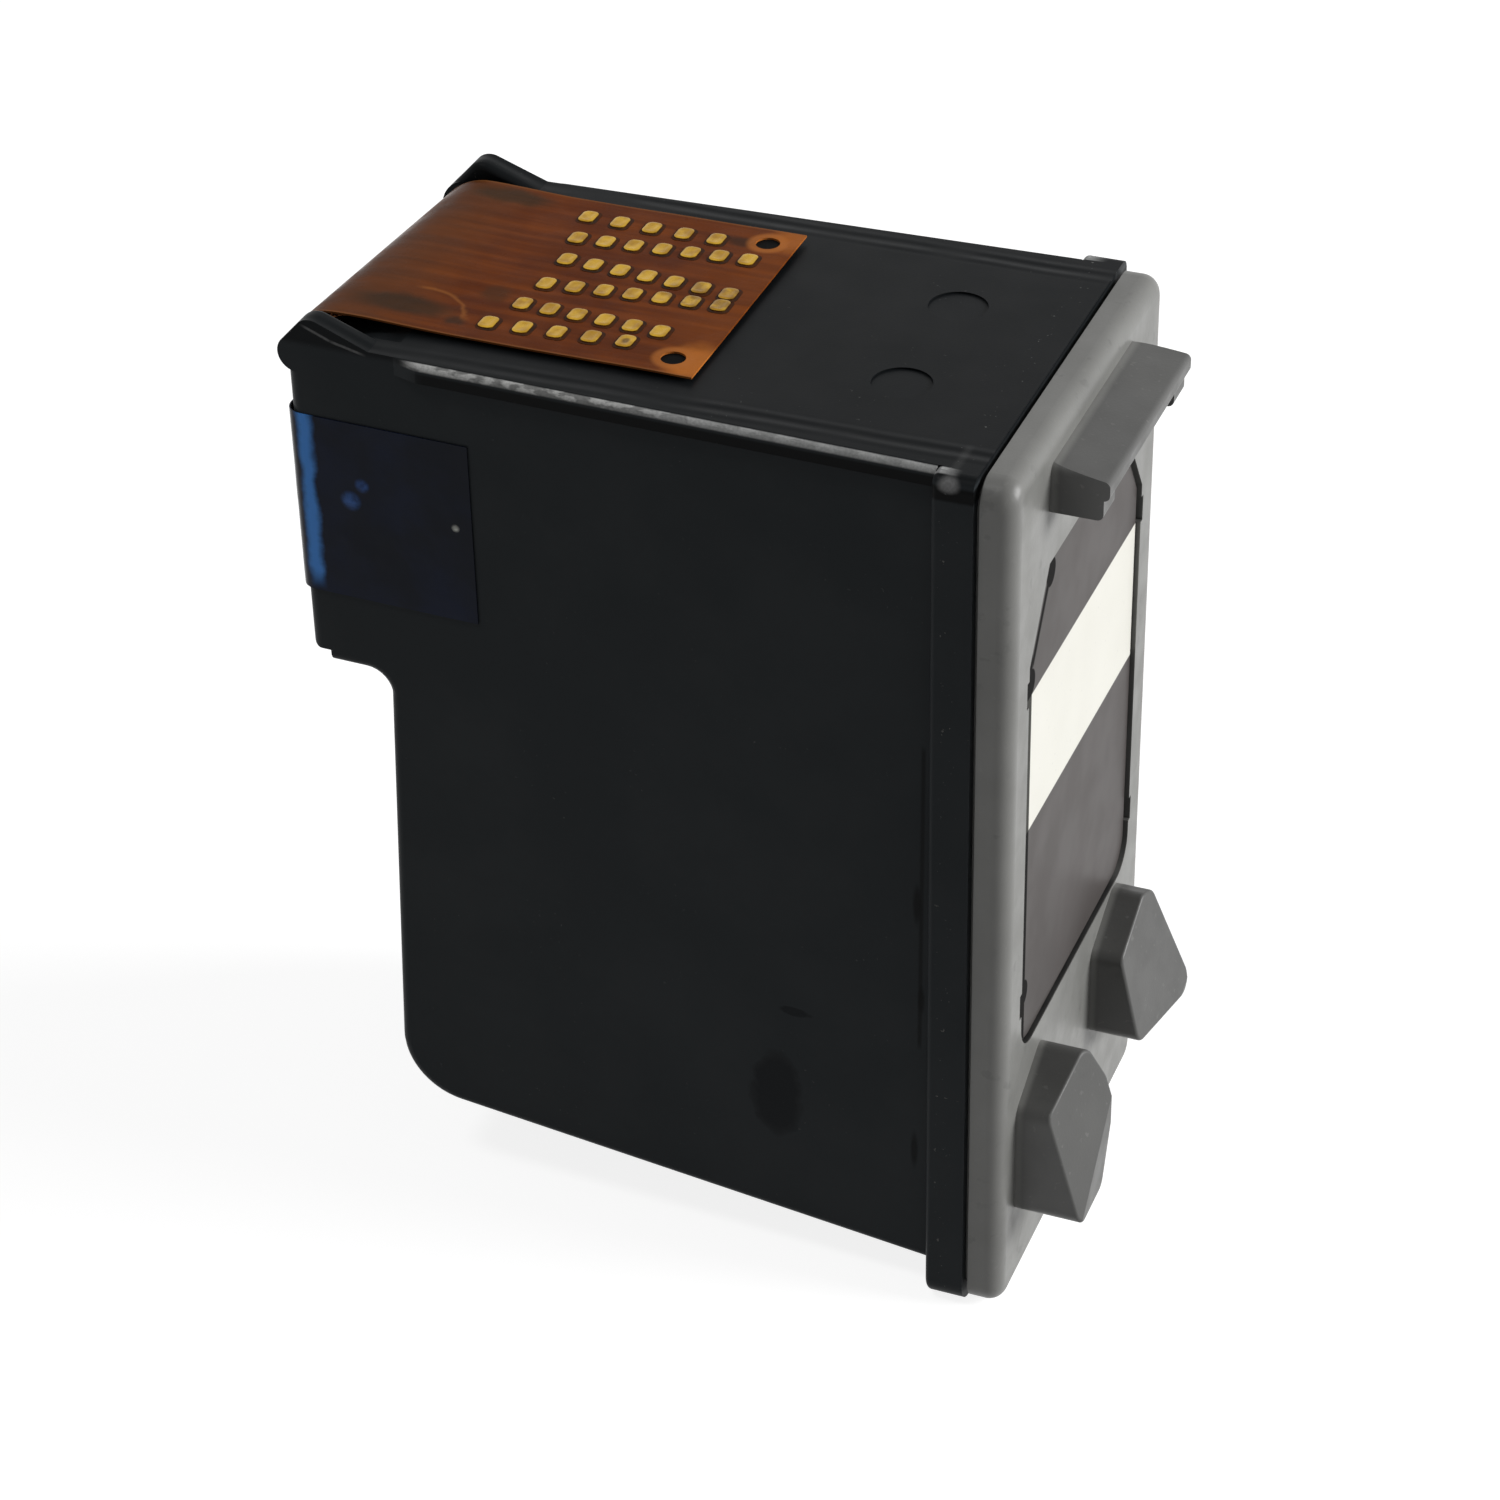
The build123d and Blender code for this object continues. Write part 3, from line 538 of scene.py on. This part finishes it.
patchy = flat_noise(tree, flat, 1.5, 3.0)
moved = math_node(tree, "ADD", along, wander(tree, patchy, 1.28))
shifted = math_node(tree, "ADD", across, wander(tree, patchy, 0.8))
for centre, half_size, paint, strength in film_marks:
    mark = spot(tree, moved, shifted, centre, half_size, 0.45)
    colour = blend(tree, both(tree, mark, strength), colour, paint)
print(len(film_marks), "marks on the film")

# %% [markdown]
# ### Arc, rings and edges
# A bright arc shows where the film was pressed on, orange rings lie round the two tooling holes, and the
# punched edges catch the light. The arc is the difference of two ovals, cut to a quarter.

# %% Arc, rings and edges of the film
arc_centre, arc_outer, arc_inner = (18.5, -7.6), (3.50, 3.35), (3.30, 3.15)
ring_size, edge_start, edge_full = (1.25, 1.25), 0.22, 0.05

outer = spot(tree, moved, across, arc_centre, arc_outer, 0.05)
inner = spot(tree, moved, across, arc_centre, arc_inner, 0.05)
arc = both(tree, math_node(tree, "SUBTRACT", outer, inner), step(tree, along, 19.6, 18.6),
           step(tree, across, -7.4, -6.4))
colour = blend(tree, both(tree, arc, 0.55), colour, (0.42, 0.15, 0.035, 1))
for side in (-1, 1):
    ring = spot(tree, along, across, (hole_inset, film_middle + hole_side * side), ring_size, 0.18)
    colour = blend(tree, both(tree, ring, 0.7), colour, (0.52, 0.17, 0.035, 1))
aside = math_node(tree, "ABSOLUTE", math_node(tree, "SUBTRACT", across, film_middle))
punched = step(tree, aside, film_width / 2 - edge_start, film_width / 2 - edge_full)
colour = blend(tree, both(tree, punched, 0.5), colour, (0.32, 0.12, 0.035, 1))
rough = step(tree, patchy, 0.3, 0.7, 0.22, 0.38)
normal = bump(tree, streak, 0.012, bump(tree, flat_noise(tree, flat, 3.0, 2.0), 0.06))
wire(polyimide, shader, colour, rough, normal)

# %% [markdown]
# ## Blue tape
# The tape over the nozzles is a thin film of clear dark blue. On the black plastic it looks nearly black.
# Down the snout's upright corner a bright blue is painted, a painted reflection of the pale floor beside
# the snout, and the small bubbles get painted blue glints as well.

# %% Tape, and its painted blue reflection at the corner
streak_run, streak_soft = (-0.25, 0.58), 0.30

navy_tape, tree, shader = new_finish("navy_tape", Specular_IOR_Level=0.07)
flat = add(tree, "Attribute", {}, attribute_name="flat_place").outputs["Vector"]
along, high, _ = coordinates(tree, flat)
cloud = step(tree, flat_noise(tree, flat, 5.0, 4.0), 0.35, 0.65)
colour = blend(tree, cloud, (0.007, 0.010, 0.020, 1), (0.009, 0.015, 0.040, 1))
run = math_node(tree, "ADD", math_node(tree, "ABSOLUTE", along),
                wander(tree, flat_noise(tree, flat, 2.0, 4.0), 0.9))
corner_end = front_half + tape_arc
# painted reflection: a bright blue streak down the upright corner
painted_corner_reflection = both(tree, between(tree, run, corner_end + streak_run[0], corner_end + streak_run[1], streak_soft),
              between(tree, high, tape_low.z + 0.8, tape_high.z + 1.0, 0.8))
colour = blend(tree, painted_corner_reflection, colour, (0.10, 0.36, 0.95, 1))
print("the streak starts", round(corner_end + streak_run[0], 2), "mm from the tape's middle")

# %% [markdown]
# ### Bubbles in the tape
# Three painted glints show on the near side, reflections on bubbles: two blue ones and a pale one. They are
# placed by X and Z, as the bubbles that are modelled later are, so the colour sits on the bump.

# %% Bubbles in the tape
bubble_glints = [  # place, size, colour
    ((-20.43, 50.96), 0.36, (0.06, 0.15, 0.45, 1)),
    ((-21.26, 49.76), 0.50, (0.07, 0.18, 0.52, 1)),
    ((-14.32, 49.37), 0.20, (0.75, 0.76, 0.70, 1)),
]
tape_near_side = (-10.0, -9.0)

x, y, z = coordinates(tree)
near = step(tree, y, *tape_near_side, 1.0, 0.0)
speckle = step(tree, flat_noise(tree, flat, 0.5, 3.0), 0.3, 0.7, 0.4, 1.0)
# painted glints on the bubbles
for centre, reach, paint in bubble_glints:
    mark = both(tree, near, spot(tree, x, z, centre, (reach, reach), 0.6), speckle)
    colour = blend(tree, mark, colour, paint)
rough = step(tree, flat_noise(tree, flat, 2.0, 3.0), 0.3, 0.7, 0.10, 0.2)
wire(navy_tape, shader, colour, rough, bump(tree, flat_noise(tree, flat, 3.0, 2.0), 0.06))

# %% [markdown]
# ## Gold of the contacts
# The contacts are copper with a thin layer of gold. Where the printer's pins press most, the gold has
# worn to a dull brown, in a patch over the ends of two rows and in the dish of one pad. Metal takes its
# colour from what it mirrors, so the worn gold is a darker and browner base colour and not a paint on
# top.

# %% Gold of the contacts
worn_size, worn_inset, dish_size = (2.6, 2.0), 1.5, (0.22, 0.30)
row_3, row_4, row_6 = ([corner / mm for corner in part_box(f"contact_row_{row}")] for row in (3, 4, 6))
worn_middle = (row_3[1].x - worn_inset, (row_3[0].y + row_4[1].y) / 2)
dish = (row_6[1].x - 0.5, row_6[1].y - 0.7)

gold, tree, shader = new_finish("gold_plating", Metallic=1.0)
x, y, z = coordinates(tree)
cloud = step(tree, noise(tree, 0.9, 3.0), 0.3, 0.7)
colour = blend(tree, cloud, (0.34, 0.180, 0.016, 1), (0.54, 0.325, 0.032, 1))
worn = both(tree, spot(tree, x, y, worn_middle, worn_size, 0.3), step(tree, noise(tree, 0.8, 3.0), 0.35, 0.6))
colour = blend(tree, both(tree, worn, 0.75), colour, (0.20, 0.105, 0.022, 1))
pressed = spot(tree, x, y, dish, dish_size, 0.4)
colour = blend(tree, both(tree, pressed, 0.8), colour, (0.10, 0.05, 0.012, 1))
rough = step(tree, noise(tree, 0.5, 3.0), 0.3, 0.7, 0.24, 0.40)
wire(gold, shader, colour, rough, bump(tree, noise(tree, 0.4, 2.0), 0.006))

# %% [markdown]
# ## Small and hidden parts
# The other parts are small or lie inside: the copper, the filter's screen, the nozzle plate, the chip,
# the sealant and the foam. They need no marks of their own, so two recipes serve them all, one for metals
# and one for dull things. Each part still has its own two colours, size of blotches, roughness and depth
# of grain.

# %% Recipes for metals and for dull things
def make_metal(name, dark, bright, size, rough_low, rough_high, depth):
    material, tree, shader = new_finish(name, Metallic=1.0)
    cloud = step(tree, noise(tree, size, 3.0), 0.3, 0.7)
    rough = step(tree, noise(tree, size / 2, 3.0), 0.3, 0.7, rough_low, rough_high)
    grain = bump(tree, noise(tree, size / 3, 2.0), depth)
    wire(material, shader, blend(tree, cloud, dark, bright), rough, grain)
    return material


def make_dull(name, dark, bright, size, rough_low, rough_high, depth, shine=0.4):
    material, tree, shader = new_finish(name, Specular_IOR_Level=shine)
    cloud = step(tree, noise(tree, size, 4.0), 0.35, 0.65)
    rough = step(tree, noise(tree, size, 2.0), 0.3, 0.7, rough_low, rough_high)
    grain = bump(tree, noise(tree, size / 2, 3.0), depth)
    wire(material, shader, blend(tree, cloud, dark, bright), rough, grain)
    return material


# %% [markdown]
# ## Every node gets its finish
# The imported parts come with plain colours. A table of node and finish replaces them, which makes it easy
# to see that none is left out: a node that is missing from the table would stop the script.

# %% Give every node its finish
finishes = {
    "body_housing": housing_plastic,
    "lid": lid_plastic,
    "lid_label": label_print,
    "foam_block": make_dull("inked_foam", grey(0.004), grey(0.02), 0.6, 0.5, 0.8, 0.2),
    "filter_screen": make_metal("woven_screen", grey(0.35), grey(0.55), 0.2, 0.3, 0.5, 0.03),
    "printhead_die": make_dull("silicon_chip", (0.03, 0.03, 0.04, 1), (0.05, 0.05, 0.07, 1),
                               1.0, 0.1, 0.2, 0.002),
    "die_adhesive": make_dull("cured_sealant", grey(0.006), grey(0.012), 1.0, 0.3, 0.5, 0.02),
    "nozzle_plate": make_metal("plated_metal", (0.35, 0.30, 0.2, 1), (0.55, 0.48, 0.34, 1),
                               1.0, 0.2, 0.35, 0.004),
    "flex_film": polyimide,
    "copper_traces": make_metal("etched_copper", (0.35, 0.13, 0.05, 1), (0.5, 0.2, 0.08, 1),
                                0.6, 0.3, 0.45, 0.004),
    "nozzle_tape": navy_tape,
}
finishes["bond_bead_upper"] = finishes["bond_bead_lower"] = finishes["die_adhesive"]
for row in range(1, 7):
    finishes[f"contact_row_{row}"] = gold
for name, part in nodes.items():
    part.data.materials.clear()
    part.data.materials.append(finishes[name])
print("finishes given to", len(nodes), "nodes")

# %% [markdown]
# ## Helpers for modelling
# New pieces are modelled as by hand, one unit to a millimetre, because Blender's tools work best at that
# size. An operator acts on all that is selected, so each helper first clears the selection and then picks
# one piece.

# %% Picking and editing a piece
def clear_selection():
    if bpy.context.object and bpy.context.object.mode != "OBJECT":
        bpy.ops.object.mode_set(mode="OBJECT")
    bpy.ops.object.select_all(action="DESELECT")


def pick(piece):
    clear_selection()
    piece.select_set(True)
    bpy.context.view_layer.objects.active = piece


def edit(piece):
    # opens the piece for editing with nothing selected, and returns its editable mesh
    pick(piece)
    bpy.ops.object.mode_set(mode="EDIT")
    bpy.ops.mesh.select_all(action="DESELECT")
    return bmesh.from_edit_mesh(piece.data)


def select(mesh, items, test):
    # selects the faces or edges that pass the test, and shows Blender the result
    for item in items:
        if test(item):
            item.select_set(True)
    mesh.select_flush_mode()


def apply_modifier(piece, kind, **settings):
    pick(piece)
    modifier = piece.modifiers.new(kind.lower(), kind)
    for name, value in settings.items():
        setattr(modifier, name, value)
    bpy.ops.object.modifier_apply(modifier=modifier.name)


def apply_place(piece):
    pick(piece)
    bpy.ops.object.transform_apply(location=True, rotation=True, scale=True)


# %% [markdown]
# ### When a piece is done
# A finished mesh is made a thousand times smaller, which puts it in the same frame as the imported parts.
# Its object stays at the origin, unturned, as a imported part's does, so that patterns don't slide. Then it
# gets its finish, is told which body carries it, and the imported part that it stands for is hidden.

# %% Finishing a piece
def finish_piece(piece, name, finish, replaced, smooth=30):
    apply_place(piece)
    piece.data.transform(Matrix.Scale(mm, 4))
    piece.name = piece.data.name = name
    bpy.ops.object.shade_smooth_by_angle(angle=math.radians(smooth))
    piece.data.materials.clear()
    piece.data.materials.append(finish)
    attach(piece, "root")
    if replaced:
        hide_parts(*replaced)
    triangles = sum(len(face.vertices) - 2 for face in piece.data.polygons)
    print(name, "has", triangles, "triangles")


# %% [markdown]
# ## The film's way over the snout
# The real circuit is punched out of flat film and then bent. A curve modifier could bend it too, but the
# bend here is tighter at the near edge than at the far one, and the film springs up a little before it.
# So its way is written as a function: two straight runs, and between them a curve drawn by four points,
# whose pull grows weaker across the film.

# %% The path that the film follows
resting_low, resting_rise, crest_low, crest_rise = 0.36, 0.10, 0.56, 0.12
spring_run, ripple_size, ripple_height = 6.5, 5, 0.04
pull_near, pull_loss = 1.0, 0.45


def smooth_step(value, low, high):
    share = min(max((value - low) / (high - low), 0), 1)
    return share * share * (3 - 2 * share)


def on_path(along, across):
    # place in X and Z of the film's outer face, along mm from its end, at the place across
    share = (across - film_low.y) / film_width
    resting, crest = resting_low + resting_rise * share, crest_low + crest_rise * share
    if along < flat_run:
        x = film_end - along
        lift = resting + (crest - resting) * smooth_step(along, flat_run - spring_run, flat_run)
        ripple = ripple_height * solid_noise.noise(Vector((x / ripple_size, across / ripple_size, 0.3)))
        return Vector((x, contact_z + lift + ripple * smooth_step(flat_run - along, 0, 2)))
    if along > flat_run + bend_run:
        return Vector((film_face, bend_foot - (along - flat_run - bend_run)))
    start, corner = Vector((bend_start, contact_z + crest)), Vector((film_face, contact_z + crest))
    foot = Vector((film_face, bend_foot))
    pull = pull_near - pull_loss * share
    t = (along - flat_run) / bend_run
    first, second = start.lerp(corner, pull), foot.lerp(corner, pull)
    return (1 - t) ** 3 * start + 3 * (1 - t) ** 2 * t * first + 3 * (1 - t) * t * t * second + t ** 3 * foot


# %% [markdown]
# ### A point over the film
# The film has a thickness, and the pads and the glue lie over or under its outer face. So a point's
# height is set off at a right angle to the path, which is found from two places a tiny step before and
# after it.

# %% A point over the film
def bent(along, across, height):
    tiny = 0.02
    ahead = on_path(along + tiny, across) - on_path(along - tiny, across)
    ahead.normalize()
    x, z = on_path(along, across)
    return Vector((x + ahead.y * height, across, z - ahead.x * height))


print("the film's free end lies at", [round(value, 2) for value in bent(0, film_middle, 0)])

# %% [markdown]
# ### Flat sheets, holes and bending
# The film, its glue and the tape all start as a fine flat grid. Holes are cut while the sheet is flat,
# which keeps them round, and every point keeps its flat place as an attribute for the finish. Only then
# are the points moved.

# %% Helpers for sheets
def add_grid(length, width, cell):
    clear_selection()
    bpy.ops.mesh.primitive_grid_add(x_subdivisions=round(length / cell), y_subdivisions=round(width / cell),
                                    size=1, location=(length / 2, 0, 0))
    sheet = bpy.context.object
    sheet.scale = (length, width, 1)
    apply_place(sheet)
    return sheet


def cut_with(piece, cutter):
    apply_modifier(piece, "BOOLEAN", operation="DIFFERENCE", solver="EXACT", object=cutter)
    bpy.data.objects.remove(cutter)


def keep_flat_place(piece):
    flat = piece.data.attributes.new("flat_place", "FLOAT_VECTOR", "POINT")
    for vertex, kept in zip(piece.data.vertices, flat.data):
        kept.vector = vertex.co


def move_points(piece, new_place):
    for vertex in piece.data.vertices:
        vertex.co = new_place(*vertex.co)


# %% [markdown]
# ### The film
# A grid of small cells gets its thickness from a Solidify modifier. Two round cutters punch the tooling
# holes, and a box cuts the window through which the nozzle plate shows.

# %% Cut the film and bend it
window_low, window_high, window_width = 43.09, 54.91, 3.86
film_cell, cutter_height = 0.42, 2
film = add_grid(film_length, film_width, film_cell)
film.location.y = film_middle
apply_place(film)
apply_modifier(film, "SOLIDIFY", thickness=film_skin, offset=-1)
for side in (-1, 1):
    clear_selection()
    bpy.ops.mesh.primitive_cylinder_add(vertices=40, radius=hole_radius, depth=cutter_height,
                                        location=(hole_inset, film_middle + hole_side * side, 0))
    cut_with(film, bpy.context.object)
clear_selection()
window_middle = flat_run + bend_run + bend_foot - (window_low + window_high) / 2
bpy.ops.mesh.primitive_cube_add(size=1, location=(window_middle, 0, 0))
cutter = bpy.context.object
cutter.scale = (window_high - window_low, window_width, cutter_height)
apply_place(cutter)
cut_with(film, cutter)
keep_flat_place(film)
move_points(film, bent)
finish_piece(film, "bent_circuit_film", polyimide, ["flex_film"], 40)

# %% [markdown]
# ## What holds the film up
# A thin layer of adhesive holds the film just off the housing. It ends short of the film's edges, which
# is why a dark line shows under the film's end. It is a second sheet, bent by the same function, so it
# can't part from the film.

# %% Adhesive under the film
adhesive_inset, adhesive_run, adhesive_skin, adhesive_cell = 0.7, 15.0, 0.26, 1.0
adhesive = add_grid(adhesive_run, film_width - 2 * adhesive_inset, adhesive_cell)
adhesive.location = (adhesive_inset, film_middle, -film_skin)
apply_place(adhesive)
apply_modifier(adhesive, "SOLIDIFY", thickness=adhesive_skin, offset=-1)
move_points(adhesive, bent)
black_glue = make_dull("black_adhesive", grey(0.002), grey(0.004), 1.0, 0.4, 0.6, 0.01, 0.02)
finish_piece(adhesive, "film_adhesive", black_glue, [])

# %% [markdown]
# ## Contact pads
# A flat square would do from afar, but gold shows its shape by what it mirrors. So one pad is modelled: a
# block with round corners, a soft rim, and a shallow dish that the printer's pins have pressed. The
# corners come from a bevel on the upright edges, and the rim and the dish from three insets of the upper
# face, the last of which goes down.

# %% One pad
def round_block(length, width, height, radius, segments):
    # a thin block with round upright edges, left open for editing with nothing selected
    clear_selection()
    bpy.ops.mesh.primitive_cube_add(size=1)
    block = bpy.context.object
    block.scale = (length, width, height)
    apply_place(block)
    mesh = edit(block)
    bpy.context.tool_settings.mesh_select_mode = (False, True, False)
    select(mesh, mesh.edges, lambda edge: abs(edge.verts[0].co.z - edge.verts[1].co.z) > height / 2)
    bpy.ops.mesh.bevel(offset=radius, segments=segments, affect="EDGES")
    bpy.ops.mesh.select_all(action="DESELECT")
    return block


pad_length, pad_width, pad_height, pad_radius, pad_sunk = 1.0, 1.4, 0.09, 0.36, 0.03
soft_rim, rim_rise, level_rim, dish_slope, dish_depth = 0.07, 0.035, 0.16, 0.12, 0.03
first_pad = round_block(pad_length, pad_width, pad_height, pad_radius, 6)
mesh = bmesh.from_edit_mesh(first_pad.data)
bpy.context.tool_settings.mesh_select_mode = (False, False, True)
select(mesh, mesh.faces, lambda face: face.normal.z > 0.9)
bpy.ops.mesh.inset(thickness=soft_rim, depth=rim_rise)
bpy.ops.mesh.inset(thickness=level_rim, depth=0.0)
bpy.ops.mesh.inset(thickness=dish_slope, depth=-dish_depth)
bpy.ops.object.mode_set(mode="OBJECT")
print("one pad has", len(first_pad.data.polygons), "faces")

# %% [markdown]
# ### Painted shadow round the pads
# Each pad lies in a small window of the film. Every pad gets a thin dark brown rim under it, set off a
# little to the right and towards the front, as a painted shadow of the pad.

# %% Painted shadow rim round a pad
rim_longer, rim_wider, rim_height, rim_radius = 0.34, 0.30, 0.04, 0.42
rim_back, rim_aside, rim_sunk = 0.08, 0.09, 0.006
first_shadow_rim = round_block(pad_length + rim_longer, pad_width + rim_wider, rim_height, rim_radius, 5)
bpy.ops.object.mode_set(mode="OBJECT")
# dark brown of the painted shadow under the pads
pad_shadow_brown = make_dull("painted_pad_shadow", (0.026, 0.008, 0.002, 1), (0.060, 0.017, 0.004, 1), 0.8, 0.3, 0.5, 0.004, 0.03)
print("one rim has", len(first_shadow_rim.data.polygons), "faces")

# %% [markdown]
# ### Six rows
# The pads stand in six rows that lean a little, so an array would miss them. Each row is laid out between
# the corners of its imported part, every pad is a copy with its own mesh, and each is turned by a hair,
# because no punch is perfect. A row is then joined to one piece.

# %% Six rows of pads
def copy_of(piece):
    copy = piece.copy()
    copy.data = piece.data.copy()
    bpy.context.scene.collection.objects.link(copy)
    return copy


def join(pieces):
    pick(pieces[0])
    for piece in pieces:
        piece.select_set(True)
    bpy.ops.object.join()
    return pieces[0]


# how many pads each row has, and which way it leans
pads_in_row = {1: (5, -1), 2: (7, 1), 3: (7, -1), 4: (7, 1), 5: (6, -1), 6: (5, 1)}
pad_turn = 0.02
shadow_rims = []
for row, (count, lean) in pads_in_row.items():
    low, high = (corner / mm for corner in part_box(f"contact_row_{row}"))
    pads = []
    for index in range(count):
        share = index / (count - 1)
        across = share if lean > 0 else 1 - share
        x = low.x + pad_length / 2 + share * (high.x - low.x - pad_length)
        y = low.y + pad_width / 2 + across * (high.y - low.y - pad_width)
        pad = copy_of(first_pad)
        pad.location = bent(film_end - x, y, pad_height / 2 - pad_sunk)
        pad.rotation_euler.z = pad_turn * solid_noise.noise(Vector((row, index, 0.5)))
        pads.append(pad)
        # painted shadow: a dark rim under each pad, set off to the right and towards the front
        rim = copy_of(first_shadow_rim)
        rim.location = bent(film_end - x - rim_back, y - rim_aside, -rim_sunk)
        shadow_rims.append(rim)
    finish_piece(join(pads), f"pads_row_{row}", gold, [f"contact_row_{row}"], 35)
finish_piece(join(shadow_rims), "pad_shadow_rims", pad_shadow_brown, [], 35)
for pattern in (first_pad, first_shadow_rim):
    bpy.data.objects.remove(pattern)

# %% [markdown]
# ## Tape over the nozzles
# The tape is cut from a flat strip as well and then laid round the snout by a function. It is not stuck
# down perfectly: small bubbles stand near the corner, and the corner itself is slightly buckled. Only
# outward buckles are allowed, because an inward one would sink into the plastic.

# %% The path round the snout
bubbles = [  # place in X and Z, reach, rise
    (-20.43, 50.96, 0.30, 0.05), (-21.26, 49.76, 0.40, 0.06), (-14.32, 49.37, 0.16, 0.05),
    (-21.9, 47.2, 0.35, 0.03), (-19.2, 46.0, 0.5, 0.02),
]
buckle_height = 0.03


def round_snout(along, high, height):
    # along from the middle of the nozzle face, towards either side
    side = -1 if along < 0 else 1
    run = abs(along)
    if run < front_half:
        at, normal = Vector((tape_front, side * run)), Vector((-1, 0))
    elif run < front_half + tape_arc:
        angle = (run - front_half) / tape_round
        normal = Vector((-math.cos(angle), side * math.sin(angle)))
        at = Vector((tape_front + tape_round, side * front_half)) + tape_round * normal
    else:
        back_by = run - front_half - tape_arc
        widening = side_slope * back_by
        at = Vector((tape_front + tape_round + back_by, side * (front_half + tape_round + widening)))
        normal = Vector((0, side))
    buckle = buckle_height * abs(solid_noise.noise(Vector((along / 1.2, high / 3.0, 2.0))))
    buckle *= smooth_step(run, front_half - 2, front_half) * smooth_step(-run, -front_half - 5, -front_half)
    for x, z, reach, rise in bubbles:
        away = (at.x - x) ** 2 + (high - z) ** 2 if side < 0 else reach * 99
        buckle += rise * math.exp(-away / (reach * reach))
    at += normal * (height + buckle)
    return Vector((at.x, at.y, high))


print("the tape's end lies at", [round(value, 2) for value in round_snout(-tape_length / 2, tape_low.z, 0)])

# %% [markdown]
# ### Laying the tape
# The strip is made, thickened, and moved point by point. Going round the snout can turn its faces inside
# out, so they are turned outwards again at the end.

# %% Lay the tape round the snout
tape_cell = 0.25
tape = add_grid(tape_length, tape_height, tape_cell)
tape.location = (-tape_length / 2, (tape_high.z + tape_low.z) / 2, 0)
apply_place(tape)
apply_modifier(tape, "SOLIDIFY", thickness=tape_skin, offset=-1)
keep_flat_place(tape)
move_points(tape, round_snout)
edit(tape)
bpy.ops.mesh.select_all(action="SELECT")
bpy.ops.mesh.normals_make_consistent(inside=False)
bpy.ops.object.mode_set(mode="OBJECT")
finish_piece(tape, "sealing_tape", navy_tape, ["nozzle_tape"], 40)

# %% [markdown]
# ## Floor
# The object stands on a pale floor that looks white to the camera. A brighter lamp would make it white
# too, but it would bleach the object. So the floor glows a little, only for rays that come from the
# camera, from gloss or through something clear, and it still takes the object's shadow.

# %% Floor
def seen_directly(tree):
    # one for rays from the camera, from a glossy surface, or through something clear
    path = add(tree, "LightPath", {})
    seen = math_node(tree, "MAXIMUM", path.outputs["Is Camera Ray"], path.outputs["Is Glossy Ray"])
    return math_node(tree, "MAXIMUM", seen, path.outputs["Is Transmission Ray"])


clear_selection()
bpy.ops.mesh.primitive_plane_add(size=4.0, location=(0, 0, 0))
floor = bpy.context.object
floor.name = "floor"
floor_material, tree, shader = new_finish("pale_floor", Roughness=0.9, Specular_IOR_Level=0.1)
mottle = step(tree, noise(tree, 60.0, 3.0), 0.3, 0.7)
tree.links.new(blend(tree, mottle, grey(0.41), grey(0.43)), shader.inputs["Base Color"])
glow = add(tree, "Emission", {"Color": grey(1.0), "Strength": 0.85})
extra = add(tree, "MixShader", {0: seen_directly(tree), 2: glow.outputs[0]})
total = add(tree, "AddShader", {0: shader.outputs[0], 1: extra.outputs[0]})
tree.links.new(total.outputs[0], tree.nodes["Material Output"].inputs["Surface"])
floor.data.materials.append(floor_material)
print("floor:", floor.dimensions[:])

# %% [markdown]
# ## Room
# The room round the object is white where it is looked at, and sheds only little light. A photographed
# studio would light it as well, but its windows would show in the gloss. Plain white keeps the near wall
# as dark as in the picture, and still gives the gloss something pale to mirror.

# %% Room
world = bpy.data.worlds.new("soft_room")
bpy.context.scene.world = world
world.use_nodes = True
tree = world.node_tree
tree.nodes.clear()
room_light, room_seen = 0.10, 1.0
room = add(tree, "Background", {"Color": grey(1.0), "Strength": room_light})
sky = add(tree, "Background", {"Color": grey(1.0), "Strength": room_seen})
shown = add(tree, "MixShader", {0: seen_directly(tree), 1: room.outputs[0], 2: sky.outputs[0]})
output = add(tree, "OutputWorld", {})
tree.links.new(shown.outputs[0], output.inputs["Surface"])
print("the room sheds", room_light, "and shows", room_seen)

# %% [markdown]
# ## Lamps
# In the picture the lid is lit and the near wall lies in its own shade. A wide round lamp at the right, a
# little over the object, does that with soft shadows. A small one high at the left lays a thin light on
# the upper edges.

# %% Lamps
def add_lamp(name, at, look_at, size, power):
    data = bpy.data.lights.new(name, "AREA")
    data.shape = "DISK"
    data.size = size
    data.energy = power
    lamp = bpy.data.objects.new(name, data)
    bpy.context.scene.collection.objects.link(lamp)
    lamp.location = at
    lamp.rotation_euler = (Vector(look_at) - Vector(at)).to_track_quat("-Z", "Y").to_euler()
    print(name, "shines with", power, "W")


half_way_up = (0, 0, 0.03)
add_lamp("key_lamp", (0.86, 0.24, 0.40), half_way_up, 0.50, 10.6)
add_lamp("edge_lamp", (-0.35, -0.20, 0.75), half_way_up, 0.20, 1.1)

# %% [markdown]
# ## Colours as they are written
# The Standard view transform shows a colour about as it is written. The others bend it, which suits films
# but not a part that has to match a picture.

# %% Colour handling
scene = bpy.context.scene
scene.view_settings.view_transform = "Standard"
print("view transform:", scene.view_settings.view_transform)
